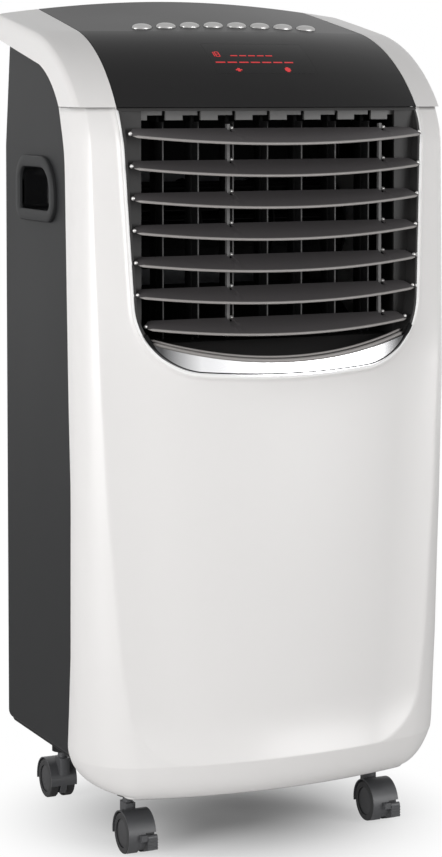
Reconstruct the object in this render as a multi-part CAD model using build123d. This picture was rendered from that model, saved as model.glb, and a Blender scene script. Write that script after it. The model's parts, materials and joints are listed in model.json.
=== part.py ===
from build123d import *
import math
import os

# Driving dimensions, in millimetres: +X right, +Y to the back, +Z up from the floor
HALF_WIDTH = 200.0
TOP_Z = 840.0
FRONT_Y = -148.0
REAR_Y = 136.0
FRONT_BOTTOM_Z = 64.0
BODY_BOTTOM_Z = 88.0
SEAM_Z = 730.0
SHOULDER_Z = 690.0
SHOULDER_LEAN = 7.0
FLANK_SPARE = 1.0
WALL = 3.0
BODY_INSET = 12.0
BODY_CORNER = 24.0
SIDE_RETURN = 8.4
GAP = 0.4

# The front is bowed about one vertical axis
BOW_RADIUS = 534.0
BOW_AXIS_Y = FRONT_Y + BOW_RADIUS
BOW_END_X = 165.0

# Side profile of the top: rear edge, bend, seam and the start of the upright front
BEND = (-22.0, 805.0)
BROW = (-128.0, SEAM_Z)
BROW_END = (-140.0, 691.0)
BROW_SAG = 11.9
BROW_END_SAG = 3.1
TOE_RADIUS = 30.0
TOE_CORNER = 46.0

# Dish of the lower front
DISH_LOW_Z = 104.0
DISH_HIGH_Z = 440.0
DISH_DEEP = 5.5

# Louvre mouth
MOUTH_TOP_HALF = 161.0
MOUTH_LOW_HALF = 151.0
MOUTH_BOTTOM_Z = 471.0
MOUTH_CORNER_Z = 482.0
MOUTH_CORNER_R = 72.0
TRIM_HEIGHT = 13.0
TRIM_TIP = (142.0, 506.0)

# Louvres and vanes
LOUVRE_COUNT = 7
LOUVRE_TOP_Z = 705.0
LOUVRE_PITCH = 30.6
PIN_Y = -120.0
LOUVRE_TILT = 22.0
LOUVRE_FRONT_END = 5.0
LOUVRE_FRONT_MID = 26.5
LOUVRE_REAR = 11.0
LOUVRE_THICK = 2.4
LOUVRE_END_GAP = 2.0
PIN_R = 2.0
RUNNING = 0.06
TIE_X = (-49.0, 117.0)
TIE_ARM = 13.0
TIE_HALF = 2.0
TIE_PIN_R = 1.2
VANE_COUNT = 7
VANE_PITCH = 37.2
VANE_Y = -80.0
VANE_FRONT = 15.0
VANE_REAR = 15.0
VANE_THICK = 2.0
VANE_LINK_OFFSET = 11.0
LINK_Z = 514.0
DUCT_TOP_Z = 729.6
DUCT_FLOOR_Z = 503.0
DUCT_WALL = 3.0
DUCT_REAR_Y = -44.0
APRON_Y = -102.0
FLANGE_HALF = 137.0
VANE_LOW_Z = 506.0
VANE_HIGH_Z = 716.0

# Buttons, along the sloped top
BUTTON_COUNT = 8
BUTTON_PITCH = 26.0
BUTTON_Y = 5.5
BUTTON_LONG = 10.7
BUTTON_SHORT = 7.0
BUTTON_DEEP = 9.5
BUTTON_PROUD = 4.2
BUTTON_GAP = 0.4
BOARD_DROP = 18.0
PANEL_REAR_HALF = 152.0
WINDOW_HALF = 54.0
WINDOW_LOW_Z = 763.0
WINDOW_HIGH_Z = 792.0
WINDOW_DEEP = 1.2

# Casters
WHEEL_R = 20.0
WHEEL_WIDTH = 9.6
WHEEL_MID_X = 8.6
HOOD_R = 22.4
HOOD_HALF = 14.2
HOOD_WALL = 1.2
WEB_HALF = 3.2
AXLE_R = 3.0
STEM_R = 5.0
STEM_TOP_Z = 86.0
SOCKET_R = 11.0
SOCKET_LOW_Z = 53.0
CASTER_X = 134.0
TRAIL = 17.0
FRONT_STEM_Y = -57.0
REAR_STEM_Y = 123.6
HOOD_TOP_Z = 46.0
PEDAL_HINGE_R = 24.2
PEDAL_WIDTH = 10.0
PEDAL_PIN_R = 1.3
PAN_FRONT_Y = -68.5
PAN_RIM = 26.0

# Rear openings
EXHAUST_X = -80.0
EXHAUST_Z = 300.0
EXHAUST_R = 62.0
EXHAUST_WALL = 4.0
EXHAUST_OUT = 12.0
INTAKE_HALF = 142.0
INTAKE_LOW_Z = 478.0
INTAKE_HIGH_Z = 742.0
SLAT_COUNT = 22
FILTER_Y = 114.0
FILTER_THICK = 5.0
SLOT_COUNT = 18
SLOT_LOW_Z = 130.0
SLOT_PITCH = 15.0
SLOT_HEIGHT = 7.0
SCREW_R = 2.0
SCREW_LEVELS = (150, 290, 455, 600, 760)
DRAIN_X = -10.0
DRAIN_Z = 104.0
DRAIN_R = 5.0
GLAND_X = 166.0
GLAND_Z = 132.0
GLAND_R = 7.0
GLAND_BORE = 4.2

# Hand holds
HANDLE_FRONT_Y = -1.0
HANDLE_REAR_Y = 88.0
HANDLE_LOW_Z = 624.0
HANDLE_HIGH_Z = 670.0
HANDLE_DEEP = 32.0
HANDLE_WALL = 2.5
HANDLE_RIM = 2.5
HANDLE_RIM_WIDTH = 12.0
HANDLE_FRONT_R = 20.0
HANDLE_REAR_R = 9.0

# Inside
BULKHEAD_Y = -56.0
COMPRESSOR_X = 80.0
COMPRESSOR_Y = 8.0
COMPRESSOR_TOP_Z = 300.0
SUCTION_TANK_X = 155.0
SUCTION_X = 110.0
LIQUID_X = 40.0
COIL_MID_Y = 93.0
PIPE_R = 4.0
TRAY_Z = 438.0
BLOWER_Y = 20.0
BLOWER_Z = 610.0
BLOWER_R = 47.0
BLOWER_HALF = 122.0
BLOWER_PLATE_X = 130.0
BLOWER_DISCS = 4
BLOWER_BLADES = 28
SHAFT_R = 4.0
GUIDE_THICK = 2.2
FAN_Y = 90.0
FAN_R = 60.0
FAN_HUB_R = 20.0
FAN_BLADES = 5
MOTOR_R = 30.0

# The origin lies under the middle of the box from the front to the rear casters
MIDDLE_Y = (FRONT_Y + REAR_STEM_Y + TRAIL + HOOD_R) / 2

os.makedirs("parts", exist_ok=True)


def save(name, shape):
    """Move a node so that the origin is under the middle of the whole, and write it."""
    export_step(Pos(0, -MIDDLE_Y, 0) * shape, f"parts/{name}.step")


def block(x0, x1, y0, y1, z0, z1):
    """A box between two corners."""
    return Pos((x0 + x1) / 2, (y0 + y1) / 2, (z0 + z1) / 2) * Box(x1 - x0, y1 - y0, z1 - z0)


def rod(start, end, radius):
    """A cylinder between two points on a line along one axis."""
    a = Vector(*start)
    b = Vector(*end)
    frame = Plane(origin=a, z_dir=b - a)
    return extrude(frame * Circle(radius), (b - a).length)


def bulge(a, b, sag):
    """An arc from a to b whose middle stands sag to the left of the chord."""
    dx = b[0] - a[0]
    dy = b[1] - a[1]
    length = math.hypot(dx, dy)
    mid = ((a[0] + b[0]) / 2 - dy / length * sag, (a[1] + b[1]) / 2 + dx / length * sag)
    return ThreePointArc(a, mid, b)


def top_z(y):
    """Height of the sloped top on the centre line."""
    slope = (TOP_Z - BEND[1]) / (REAR_Y - BEND[0])
    return TOP_Z - (REAR_Y - y) * slope


def side_face(inset):
    """Side profile in Y and Z: back, sloped top, rounded brow, upright front and toe."""
    toe = (FRONT_Y + TOE_RADIUS, FRONT_BOTTOM_Z)
    shin = (FRONT_Y, FRONT_BOTTOM_Z + TOE_RADIUS)
    toe_mid = TOE_RADIUS * (1 - math.sqrt(0.5))
    lines = [
        Line((BEND[0] + 400, FRONT_BOTTOM_Z), (BEND[0] + 400, top_z(BEND[0] + 400))),
        Line((BEND[0] + 400, top_z(BEND[0] + 400)), BEND),
        bulge(BEND, BROW, -BROW_SAG),
        bulge(BROW, BROW_END, -BROW_END_SAG),
        Line(BROW_END, (FRONT_Y, MOUTH_BOTTOM_Z)),
        Line((FRONT_Y, MOUTH_BOTTOM_Z), (FRONT_Y, DISH_HIGH_Z)),
        bulge((FRONT_Y, DISH_HIGH_Z), (FRONT_Y, DISH_LOW_Z), DISH_DEEP),
        Line((FRONT_Y, DISH_LOW_Z), shin),
        ThreePointArc(shin, (FRONT_Y + toe_mid, FRONT_BOTTOM_Z + toe_mid), toe),
        Line(toe, (BEND[0] + 400, FRONT_BOTTOM_Z)),
    ]
    face = make_face(lines)
    if inset:
        face = offset(face, -inset, kind=Kind.INTERSECTION)
    return face


def front_face(inset, bottom, corner):
    """Front outline in X and Z: upright flanks that lean a little at the top, rounded lower corners."""
    flank = HALF_WIDTH + FLANK_SPARE
    ear = HALF_WIDTH - SHOULDER_LEAN
    face = make_face(Polyline(
        (flank, bottom - inset), (flank, SHOULDER_Z), (ear, TOP_Z + 20.0),
        (-ear, TOP_Z + 20.0), (-flank, SHOULDER_Z), (-flank, bottom - inset), close=True))
    low = face.vertices().sort_by(Axis.Y)[:2]
    face = fillet(low, corner)
    if inset:
        face = offset(face, -inset, kind=Kind.INTERSECTION)
    return face


def plan_face(inset):
    """Plan outline in X and Y: bowed front, round front corners, straight sides and back."""
    turn = math.asin(BOW_END_X / BOW_RADIUS)
    bow = BOW_RADIUS - inset
    corner = (HALF_WIDTH - BOW_END_X) / (1 - math.sin(turn)) - inset
    half = HALF_WIDTH - inset
    bow_end = (bow * math.sin(turn), BOW_AXIS_Y - bow * math.cos(turn))
    middle = (half - corner, bow_end[1] + corner * math.cos(turn))
    half_turn = (turn + math.pi / 2) / 2
    corner_mid = (middle[0] + corner * math.sin(half_turn), middle[1] - corner * math.cos(half_turn))
    right = [
        ThreePointArc(bow_end, corner_mid, (half, middle[1])),
        Line((half, middle[1]), (half, REAR_Y - inset)),
    ]
    lines = right + [mirror(edge, Plane.YZ) for edge in right]
    lines.append(ThreePointArc((-bow_end[0], bow_end[1]), (0, FRONT_Y + inset), bow_end))
    lines.append(Line((half, REAR_Y - inset), (-half, REAR_Y - inset)))
    return make_face(lines)


def casing(inset, side_inset=0.0, bottom=FRONT_BOTTOM_Z, corner=TOE_CORNER):
    """The whole cabinet as one solid, drawn in by inset, with its sides drawn in further."""
    axis = Axis((0, BOW_AXIS_Y, 0), (0, 0, 1))
    profile = Plane.YZ * side_face(inset)
    spread = 44.0
    turned = revolve(profile, axis, 2 * spread)
    turned = turned.rotate(axis, -spread)
    outline = front_face(inset + side_inset, bottom, corner)
    front = extrude(Plane.XZ * outline, 400, both=True)
    plan = extrude(plan_face(inset), 1000)
    return turned & plan & front


def boundary_lines(shift):
    """Line in Y and Z where the white shells end and the black housing begins."""
    low = (-86.0 - shift, 0.0)
    knee = (-63.0 - shift, 668.0 + shift * 0.3)
    elbow = (-44.4 - shift * 0.7, 730.6 + shift * 0.7)
    arm = (10.0, 772.0 + shift)
    back = (200.0, 814.0 + shift)
    return [Line(low, knee), ThreePointArc(knee, elbow, arm), Line(arm, back)]


def white_region(shift):
    """Everything in front of and above the boundary, as a slab across the whole width."""
    lines = boundary_lines(shift)
    start = lines[0] @ 0
    end = lines[-1] @ 1
    lines.append(Line(end, (end.X, 1000)))
    lines.append(Line((end.X, 1000), (-300, 1000)))
    lines.append(Line((-300, 1000), (-300, start.Y)))
    lines.append(Line((-300, start.Y), start))
    return extrude(Plane.YZ * make_face(lines), 300, both=True)


def mouth_face(inset):
    """Mouth in X and Z: sides that close in a little, a bowed floor and large corners."""
    top = SEAM_Z + 40.0
    low = (MOUTH_LOW_HALF, MOUTH_CORNER_Z)
    high = (MOUTH_TOP_HALF + 3.0, top)
    lines = [
        Line(low, high),
        Line(high, (-high[0], top)),
        Line((-high[0], top), (-low[0], low[1])),
        ThreePointArc((-low[0], low[1]), (0, MOUTH_BOTTOM_Z), low),
    ]
    face = make_face(lines)
    face = fillet(face.vertices().sort_by(Axis.Y)[:2], MOUTH_CORNER_R)
    if inset:
        face = offset(face, -inset, kind=Kind.INTERSECTION)
    return face


def through(face, y0, y1):
    """Extrude a face drawn in X and Z from y0 back to y1."""
    return extrude(Plane(origin=(0, y1, 0), x_dir=(1, 0, 0), z_dir=(0, -1, 0)) * face, y1 - y0)


def mouth_half(z, inset):
    """Half the mouth's width at a height, found by cutting the mouth's face."""
    strip = Pos(0, z) * Rectangle(600, 0.02)
    return (mouth_face(inset) & strip).bounding_box().max.X


# Outer shells
outer = casing(0)
inner = casing(WALL)
skin = outer - inner
black_outer = casing(0, BODY_INSET, BODY_BOTTOM_Z, BODY_CORNER)
black_core = casing(WALL, BODY_INSET, BODY_BOTTOM_Z - WALL, BODY_CORNER)
ledge = (outer - black_core) & (white_region(0) - white_region(WALL))
white = (skin & white_region(0)) + ledge
below_seam = block(-300, 300, -300, 300, -10, SEAM_Z - GAP / 2)
above_seam = block(-300, 300, -300, 300, SEAM_Z + GAP / 2, 1000)


def panel_face(margin):
    """Plan outline of the control panel between the rails, a little narrower at the back."""
    points = [
        (MOUTH_TOP_HALF + 2.0 - margin, -200.0),
        (MOUTH_TOP_HALF + 1.0 - margin, BROW[0] + 22.0),
        (PANEL_REAR_HALF - margin, REAR_Y + 20.0),
    ]
    points += [(-x, y) for x, y in reversed(points)]
    return make_face(Polyline(points, close=True))


front_panel = (white & below_seam) - through(mouth_face(0), FRONT_Y - 10, DUCT_REAR_Y)
save("front_panel", front_panel)

top_frame = (white & above_seam) - extrude(panel_face(0), 1000)
save("top_frame", top_frame)


# Control panel, with a lip that tucks under the rails
slope = math.atan2(TOP_Z - BEND[1], REAR_Y - BEND[0])
panel_low = casing(2 * WALL)
lip = (inner - panel_low) & extrude(panel_face(-6), 1000) & above_seam & white_region(WALL)
control_panel = (skin & above_seam & white_region(0) & extrude(panel_face(GAP), 1000)) + lip
window_zone = block(-WINDOW_HALF, WINDOW_HALF, -200, 0, WINDOW_LOW_Z, WINDOW_HIGH_Z)
window_cut = block(-WINDOW_HALF - 0.1, WINDOW_HALF + 0.1, -200, 0, WINDOW_LOW_Z - 0.1, WINDOW_HIGH_Z + 0.1)
window_skin = outer - casing(WINDOW_DEEP)
control_panel -= (outer - casing(WINDOW_DEEP + 0.1)) & window_cut
display_window = window_skin & window_zone
save("display_window", display_window)


def button_plane(index):
    """Plane on the sloped top under one button, with its normal as the press axis."""
    x = (index - (BUTTON_COUNT - 1) / 2) * BUTTON_PITCH
    radius = math.hypot(x, BOW_AXIS_Y - BUTTON_Y)
    z = top_z(BOW_AXIS_Y - radius)
    return Plane(origin=(x, BUTTON_Y, z), x_dir=(1, 0, 0), z_dir=(0, -math.sin(slope), math.cos(slope)))


for index in range(BUTTON_COUNT):
    plane = button_plane(index)
    cap = extrude(plane.offset(-BUTTON_DEEP) * Ellipse(BUTTON_LONG, BUTTON_SHORT), BUTTON_DEEP + BUTTON_PROUD)
    crown = cap.edges().sort_by(lambda e: (e.center() - plane.origin).dot(plane.z_dir))[-1]
    cap = fillet(crown, 1.8)
    flange_face = Ellipse(BUTTON_LONG + 1.2, BUTTON_SHORT + 1.2)
    cap += extrude(plane.offset(-BUTTON_DEEP) * flange_face, 1.4)
    save(f"button_{index + 1}", cap)
    bore_face = Ellipse(BUTTON_LONG + BUTTON_GAP, BUTTON_SHORT + BUTTON_GAP)
    control_panel -= extrude(plane.offset(-14) * bore_face, 24)
save("control_panel", control_panel)

# Control board on four posts under the panel
board_plane = button_plane(0)
board_plane = Plane(origin=(0, BUTTON_Y, board_plane.origin.Z), x_dir=(1, 0, 0), z_dir=board_plane.z_dir)
board_level = board_plane.offset(-BOARD_DROP)
control_board = extrude(board_level * Rectangle(230, 50), 1.6)
for px in (-108, 108):
    for py in (-20, 20):
        control_board += extrude(board_level * Pos(px, py) * Circle(3), BOARD_DROP)
for px in (-70, -20, 35, 80):
    control_board += extrude(board_level * Pos(px, -8) * Rectangle(18, 18), -4)
save("control_board", control_board & panel_low)


# Black housing: two sides and the back, with a bulkhead behind the mouth
def handle_face(grow):
    """D-shaped hand hold in Y and Z, round towards the front."""
    y0 = HANDLE_FRONT_Y - grow
    y1 = HANDLE_REAR_Y + grow
    z0 = HANDLE_LOW_Z - grow
    z1 = HANDLE_HIGH_Z + grow
    face = make_face(Polyline([(y0, z0), (y1, z0), (y1, z1), (y0, z1)], close=True))
    front = face.vertices().sort_by(Axis.X)[:2]
    face = fillet(front, HANDLE_FRONT_R + grow)
    return fillet(face.vertices().sort_by(Axis.X)[-2:], HANDLE_REAR_R + grow)


def across(face, x0, x1):
    """Extrude a face drawn in Y and Z from x0 to x1."""
    return extrude(Plane.YZ.offset(x0) * face, x1 - x0)


body_half = HALF_WIDTH + FLANK_SPARE - BODY_INSET
housing = (black_outer - black_core) - white_region(-GAP)
bulkhead = black_core & block(-300, 300, BULKHEAD_Y, BULKHEAD_Y + WALL, BODY_BOTTOM_Z + PAN_RIM + 0.3, 724)
bulkhead -= through(mouth_face(-0.3), BULKHEAD_Y - 5, BULKHEAD_Y + 10)
housing += bulkhead
for z in (INTAKE_LOW_Z - 10, INTAKE_HIGH_Z + 4):
    housing += black_core & block(-150, body_half, FILTER_Y - 4, REAR_Y, z, z + 6)
housing -= block(-INTAKE_HALF, INTAKE_HALF, REAR_Y - WALL - 1, REAR_Y + 5, INTAKE_LOW_Z, INTAKE_HIGH_Z)
housing -= block(100, 300, FILTER_Y - 0.4, FILTER_Y + FILTER_THICK + 0.4, INTAKE_LOW_Z - 3, INTAKE_HIGH_Z + 3)
housing -= rod((EXHAUST_X, 100, EXHAUST_Z), (EXHAUST_X, 160, EXHAUST_Z), EXHAUST_R + EXHAUST_WALL + 0.1)
for index in range(SLOT_COUNT):
    z = SLOT_LOW_Z + index * SLOT_PITCH
    housing -= block(26, 148, REAR_Y - 10, REAR_Y + 5, z, z + SLOT_HEIGHT)
for side in (-1, 1):
    x_low = side * body_half - 20
    housing -= across(handle_face(HANDLE_WALL + 0.2), x_low, x_low + 40)
housing -= rod((DRAIN_X, 120, DRAIN_Z), (DRAIN_X, 160, DRAIN_Z), DRAIN_R + 2.2)
housing -= rod((GLAND_X, 120, GLAND_Z), (GLAND_X, 160, GLAND_Z), GLAND_R + 0.1)
screw_places = [(side * (176 if z < 700 else 158), z) for side in (-1, 1) for z in SCREW_LEVELS]
for x, z in screw_places:
    housing -= rod((x, 120, z), (x, 160, z), SCREW_R + 0.1)
for side in (-1, 1):
    joint_x = side * (body_half - SIDE_RETURN)
    housing -= block(joint_x - GAP / 2, joint_x + GAP / 2, -300, 300, 0, 1000)
save("rear_housing", housing)

screws = []
for x, z in screw_places:
    screw = rod((x, REAR_Y - 12, z), (x, REAR_Y, z), SCREW_R)
    head = rod((x, REAR_Y, z), (x, REAR_Y + 2.2, z), 4.0)
    head -= Pos(x, REAR_Y + 2.2, z) * Box(5.0, 2.0, 0.9)
    head -= Pos(x, REAR_Y + 2.2, z) * Box(0.9, 2.0, 5.0)
    screws.append(screw + head)
save("screws", Compound(screws))

# Hand holds: a D-shaped cup with a rim on the outside of each side
handles = []
for side in (-1, 1):
    rim_x = side * body_half
    cup_x = side * (body_half - HANDLE_DEEP)
    low = min(rim_x, cup_x)
    cup = across(handle_face(HANDLE_WALL), low, low + HANDLE_DEEP)
    rim_low = rim_x if side > 0 else rim_x - HANDLE_RIM
    cup += across(handle_face(HANDLE_RIM_WIDTH), rim_low, rim_low + HANDLE_RIM)
    hollow_low = cup_x + HANDLE_WALL if side > 0 else rim_x - HANDLE_RIM - 1
    cup -= across(handle_face(0), hollow_low, hollow_low + HANDLE_DEEP + HANDLE_RIM + 1 - HANDLE_WALL)
    handles.append(cup)
save("side_handles", Compound(handles))

# Rear grille: a frame with slats, behind it the filter
grille_half = INTAKE_HALF - 0.2
grille = block(-grille_half, grille_half, REAR_Y - 4, REAR_Y + 1, INTAKE_LOW_Z + 0.2, INTAKE_HIGH_Z - 0.2)
grille -= block(-grille_half + 9, grille_half - 9, 0, 200, INTAKE_LOW_Z + 9, INTAKE_HIGH_Z - 9)
slat_span = INTAKE_HIGH_Z - INTAKE_LOW_Z - 18
for index in range(1, SLAT_COUNT):
    z = INTAKE_LOW_Z + 9 + index * slat_span / SLAT_COUNT
    grille += block(-grille_half + 1, grille_half - 1, REAR_Y - 4, REAR_Y, z - 1.6, z + 1.6)
for x in (-67, 0, 67):
    grille += block(x - 2.5, x + 2.5, REAR_Y - 4, REAR_Y, INTAKE_LOW_Z + 5, INTAKE_HIGH_Z - 5)
save("intake_grille", grille)

filter_low = INTAKE_LOW_Z - 2.6
filter_high = INTAKE_HIGH_Z + 2.6
air_filter = block(-140, body_half, FILTER_Y, FILTER_Y + FILTER_THICK, filter_low, filter_high)
cells_x = 6
cells_z = 5
cell_w = 300.0 / cells_x
cell_h = (filter_high - filter_low - 12) / cells_z
for column in range(cells_x):
    for row in range(cells_z):
        x = -134 + column * cell_w
        z = filter_low + 6 + row * cell_h
        air_filter -= block(x, x + cell_w - 4, FILTER_Y + 1.5, FILTER_Y + 9, z + 2, z + cell_h - 2)
save("air_filter", air_filter & black_outer)

collar = rod((EXHAUST_X, REAR_Y - 16, EXHAUST_Z), (EXHAUST_X, REAR_Y + EXHAUST_OUT, EXHAUST_Z),
             EXHAUST_R + EXHAUST_WALL)
collar += rod((EXHAUST_X, REAR_Y, EXHAUST_Z), (EXHAUST_X, REAR_Y + 2.5, EXHAUST_Z), EXHAUST_R + 14)
collar -= rod((EXHAUST_X, 100, EXHAUST_Z), (EXHAUST_X, 160, EXHAUST_Z), EXHAUST_R)
save("exhaust_collar", collar)

gland = rod((GLAND_X, REAR_Y - 9, GLAND_Z), (GLAND_X, REAR_Y + 1, GLAND_Z), GLAND_R)
gland += rod((GLAND_X, REAR_Y, GLAND_Z), (GLAND_X, REAR_Y + 4, GLAND_Z), GLAND_R + 4)
gland -= rod((GLAND_X, 100, GLAND_Z), (GLAND_X, 160, GLAND_Z), GLAND_BORE)
save("cord_gland", gland)

# Base pan with caster sockets, compressor studs and the drain spout
pan_zone = casing(WALL + 0.2, BODY_INSET, BODY_BOTTOM_Z - WALL, BODY_CORNER)
pan_zone &= block(-300, 300, PAN_FRONT_Y, 300, BODY_BOTTOM_Z, BODY_BOTTOM_Z + PAN_RIM)
pan_hollow = casing(WALL + 3.2, BODY_INSET, BODY_BOTTOM_Z - WALL, BODY_CORNER)
pan_hollow &= block(-300, 300, PAN_FRONT_Y + WALL, 300, BODY_BOTTOM_Z + 4, 400)
base_pan = pan_zone - pan_hollow
stems = [(side * CASTER_X, y) for y in (FRONT_STEM_Y, REAR_STEM_Y) for side in (-1, 1)]
for x, y in stems:
    socket = rod((x, y, SOCKET_LOW_Z), (x, y, STEM_TOP_Z + 10), SOCKET_R)
    base_pan += socket & block(-300, 300, -300, REAR_Y - WALL - GAP, 0, 300)
    base_pan -= rod((x, y, SOCKET_LOW_Z - 1), (x, y, STEM_TOP_Z + 2), STEM_R + RUNNING)
feet = [(COMPRESSOR_X + 66 * math.cos(a), COMPRESSOR_Y + 66 * math.sin(a))
        for a in (math.radians(angle) for angle in (80, 200, 320))]
pan_floor = BODY_BOTTOM_Z + 4
for x, y in feet:
    base_pan += rod((x, y, pan_floor - 1), (x, y, pan_floor + 24), 3.0)
base_pan += block(20, 50, 98, 116, pan_floor - 1, STEM_TOP_Z + 10)
base_pan += rod((DRAIN_X, REAR_Y - 12, DRAIN_Z), (DRAIN_X, REAR_Y + 1, DRAIN_Z), DRAIN_R + 2)
base_pan -= rod((DRAIN_X, REAR_Y - 20, DRAIN_Z), (DRAIN_X, 160, DRAIN_Z), DRAIN_R)
save("base_pan", base_pan)

plug = rod((DRAIN_X, REAR_Y - 10, DRAIN_Z), (DRAIN_X, REAR_Y + 1.2, DRAIN_Z), DRAIN_R - RUNNING)
plug += rod((DRAIN_X, REAR_Y + 1.2, DRAIN_Z), (DRAIN_X, REAR_Y + 5, DRAIN_Z), DRAIN_R + 4)
plug += block(DRAIN_X - 1.5, DRAIN_X + 1.5, REAR_Y + 4, REAR_Y + 11, DRAIN_Z - 6, DRAIN_Z + 6)
save("drain_plug", plug)

# Casters: hood with stem, wheel pair, and a brake pedal on the front two
caster_names = ["front_left", "front_right", "rear_left", "rear_right"]
for name, (x, y) in zip(caster_names, stems):
    ahead = -1 if y < 0 else 1
    axle_y = y + ahead * TRAIL
    hood = rod((x - HOOD_HALF, axle_y, WHEEL_R), (x + HOOD_HALF, axle_y, WHEEL_R), HOOD_R)
    hood -= rod((x - 40, axle_y, WHEEL_R), (x + 40, axle_y, WHEEL_R), HOOD_R - HOOD_WALL)
    hood -= block(x - 40, x + 40, axle_y - 40, axle_y + 40, -10, WHEEL_R - 4)
    web = rod((x - WEB_HALF, axle_y, WHEEL_R), (x + WEB_HALF, axle_y, WHEEL_R), HOOD_R)
    web -= block(x - 40, x + 40, axle_y - 40, axle_y + 40, -10, 7)
    hood += web
    hood += rod((x, y, WHEEL_R + 8), (x, y, HOOD_TOP_Z), 9.0) & block(
        x - WEB_HALF - 2, x + WEB_HALF + 2, y - 40, y + 40, 0, 100)
    hood += rod((x, y, WHEEL_R + 10), (x, y, STEM_TOP_Z), STEM_R)
    hood -= rod((x - 40, axle_y, WHEEL_R), (x + 40, axle_y, WHEEL_R), AXLE_R + RUNNING)
    for side in (-1, 1):
        inside = x + side * (WEB_HALF + 0.01)
        outside = x + side * 40
        hood -= rod((inside, axle_y, WHEEL_R), (outside, axle_y, WHEEL_R), WHEEL_R + 1.1)
    wheels = rod((x - WHEEL_MID_X, axle_y, WHEEL_R), (x + WHEEL_MID_X, axle_y, WHEEL_R), AXLE_R)
    for side in (-1, 1):
        near = x + side * (WHEEL_MID_X - WHEEL_WIDTH / 2)
        far = x + side * (WHEEL_MID_X + WHEEL_WIDTH / 2)
        disc = rod((near, axle_y, WHEEL_R), (far, axle_y, WHEEL_R), WHEEL_R)
        disc = fillet(disc.edges().filter_by(GeomType.CIRCLE), 1.5)
        disc -= rod((far - side * 2.5, axle_y, WHEEL_R), (far + side, axle_y, WHEEL_R), 14)
        disc += rod((far - side * 2.5, axle_y, WHEEL_R), (far - side * 0.8, axle_y, WHEEL_R), 6)
        wheels += disc
    save(f"caster_wheels_{name}", wheels)
    if ahead < 0:
        hinge_y = axle_y - PEDAL_HINGE_R
        notch = block(x + WEB_HALF, x + 40, hinge_y - 10, hinge_y + 4.2, -10, WHEEL_R + 4.2)
        hood -= notch
        lug = block(x - WEB_HALF, x + WEB_HALF, hinge_y - 2.6, hinge_y + 6, WHEEL_R - 3, WHEEL_R + 3)
        hood += lug
        pin_end = x + WEB_HALF + PEDAL_WIDTH + 0.8
        hood += rod((x + WEB_HALF - 2, hinge_y, WHEEL_R), (pin_end, hinge_y, WHEEL_R), PEDAL_PIN_R)
        pedal_low = x + WEB_HALF + 0.5
        pedal_high = pedal_low + PEDAL_WIDTH
        pedal = rod((pedal_low, hinge_y, WHEEL_R), (pedal_high, hinge_y, WHEEL_R), 2.6)
        pedal += block(pedal_low, pedal_high, hinge_y - 2.6, hinge_y - 0.2, WHEEL_R - 12, WHEEL_R)
        for index in range(4):
            rib_z = WHEEL_R - 11 + index * 2.8
            pedal += block(pedal_low, pedal_high, hinge_y - 3.3, hinge_y - 2.5, rib_z, rib_z + 1.2)
        pedal -= rod((x, hinge_y, WHEEL_R), (x + 40, hinge_y, WHEEL_R), PEDAL_PIN_R + RUNNING)
        save(f"brake_pedal_{name}", pedal)
    save(f"caster_hood_{name}", hood)

# Outlet duct: a tunnel of the mouth's outline, with a ceiling, a floor that slopes up from the
# trim, and an upright flange on each side of the vanes
def below_trim(rise):
    """Region in X and Z under the trim's upper edge, an arc from tip to tip, lifted by rise."""
    reach = 170.0
    sag = TRIM_TIP[1] - MOUTH_BOTTOM_Z - TRIM_HEIGHT
    radius = (TRIM_TIP[0] ** 2 + sag ** 2) / (2 * sag)
    mid_z = MOUTH_BOTTOM_Z + TRIM_HEIGHT + rise
    end_z = mid_z + radius - math.sqrt(radius ** 2 - reach ** 2)
    low_z = MOUTH_BOTTOM_Z - 20
    return make_face([
        ThreePointArc((-reach, end_z), (0, mid_z), (reach, end_z)),
        Polyline((reach, end_z), (reach, low_z), (-reach, low_z), (-reach, end_z)),
    ])


mouth_tunnel = through(mouth_face(0.5), FRONT_Y, DUCT_REAR_Y)
tunnel = mouth_tunnel - through(mouth_face(0.5 + DUCT_WALL), FRONT_Y - 1, 0)
tunnel += mouth_tunnel & block(-300, 300, -300, 300, DUCT_TOP_Z - DUCT_WALL, DUCT_TOP_Z)
apron_low_z = MOUTH_BOTTOM_Z + TRIM_HEIGHT
apron_face = make_face(Polyline(
    (FRONT_Y + 5, apron_low_z), (APRON_Y, DUCT_FLOOR_Z), (DUCT_REAR_Y, DUCT_FLOOR_Z),
    (DUCT_REAR_Y, DUCT_FLOOR_Z - DUCT_WALL), (APRON_Y, DUCT_FLOOR_Z - DUCT_WALL),
    (FRONT_Y + 5, apron_low_z - DUCT_WALL), close=True))
tunnel += mouth_tunnel & extrude(Plane.YZ * apron_face, 300, both=True)
flange = through(mouth_face(0.5), APRON_Y, APRON_Y + DUCT_WALL)
flange -= block(-FLANGE_HALF, FLANGE_HALF, -300, 300, 0, 900)
tunnel += flange
tunnel &= block(-300, 300, -300, 300, 0, DUCT_TOP_Z)
bezel_zone = casing(1.2) & block(-300, 300, -300, 300, TRIM_TIP[1] + 6, 900)
duct = tunnel & (casing(WALL + 4) + bezel_zone)
louvre_levels = [LOUVRE_TOP_Z - index * LOUVRE_PITCH for index in range(LOUVRE_COUNT)]
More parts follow.
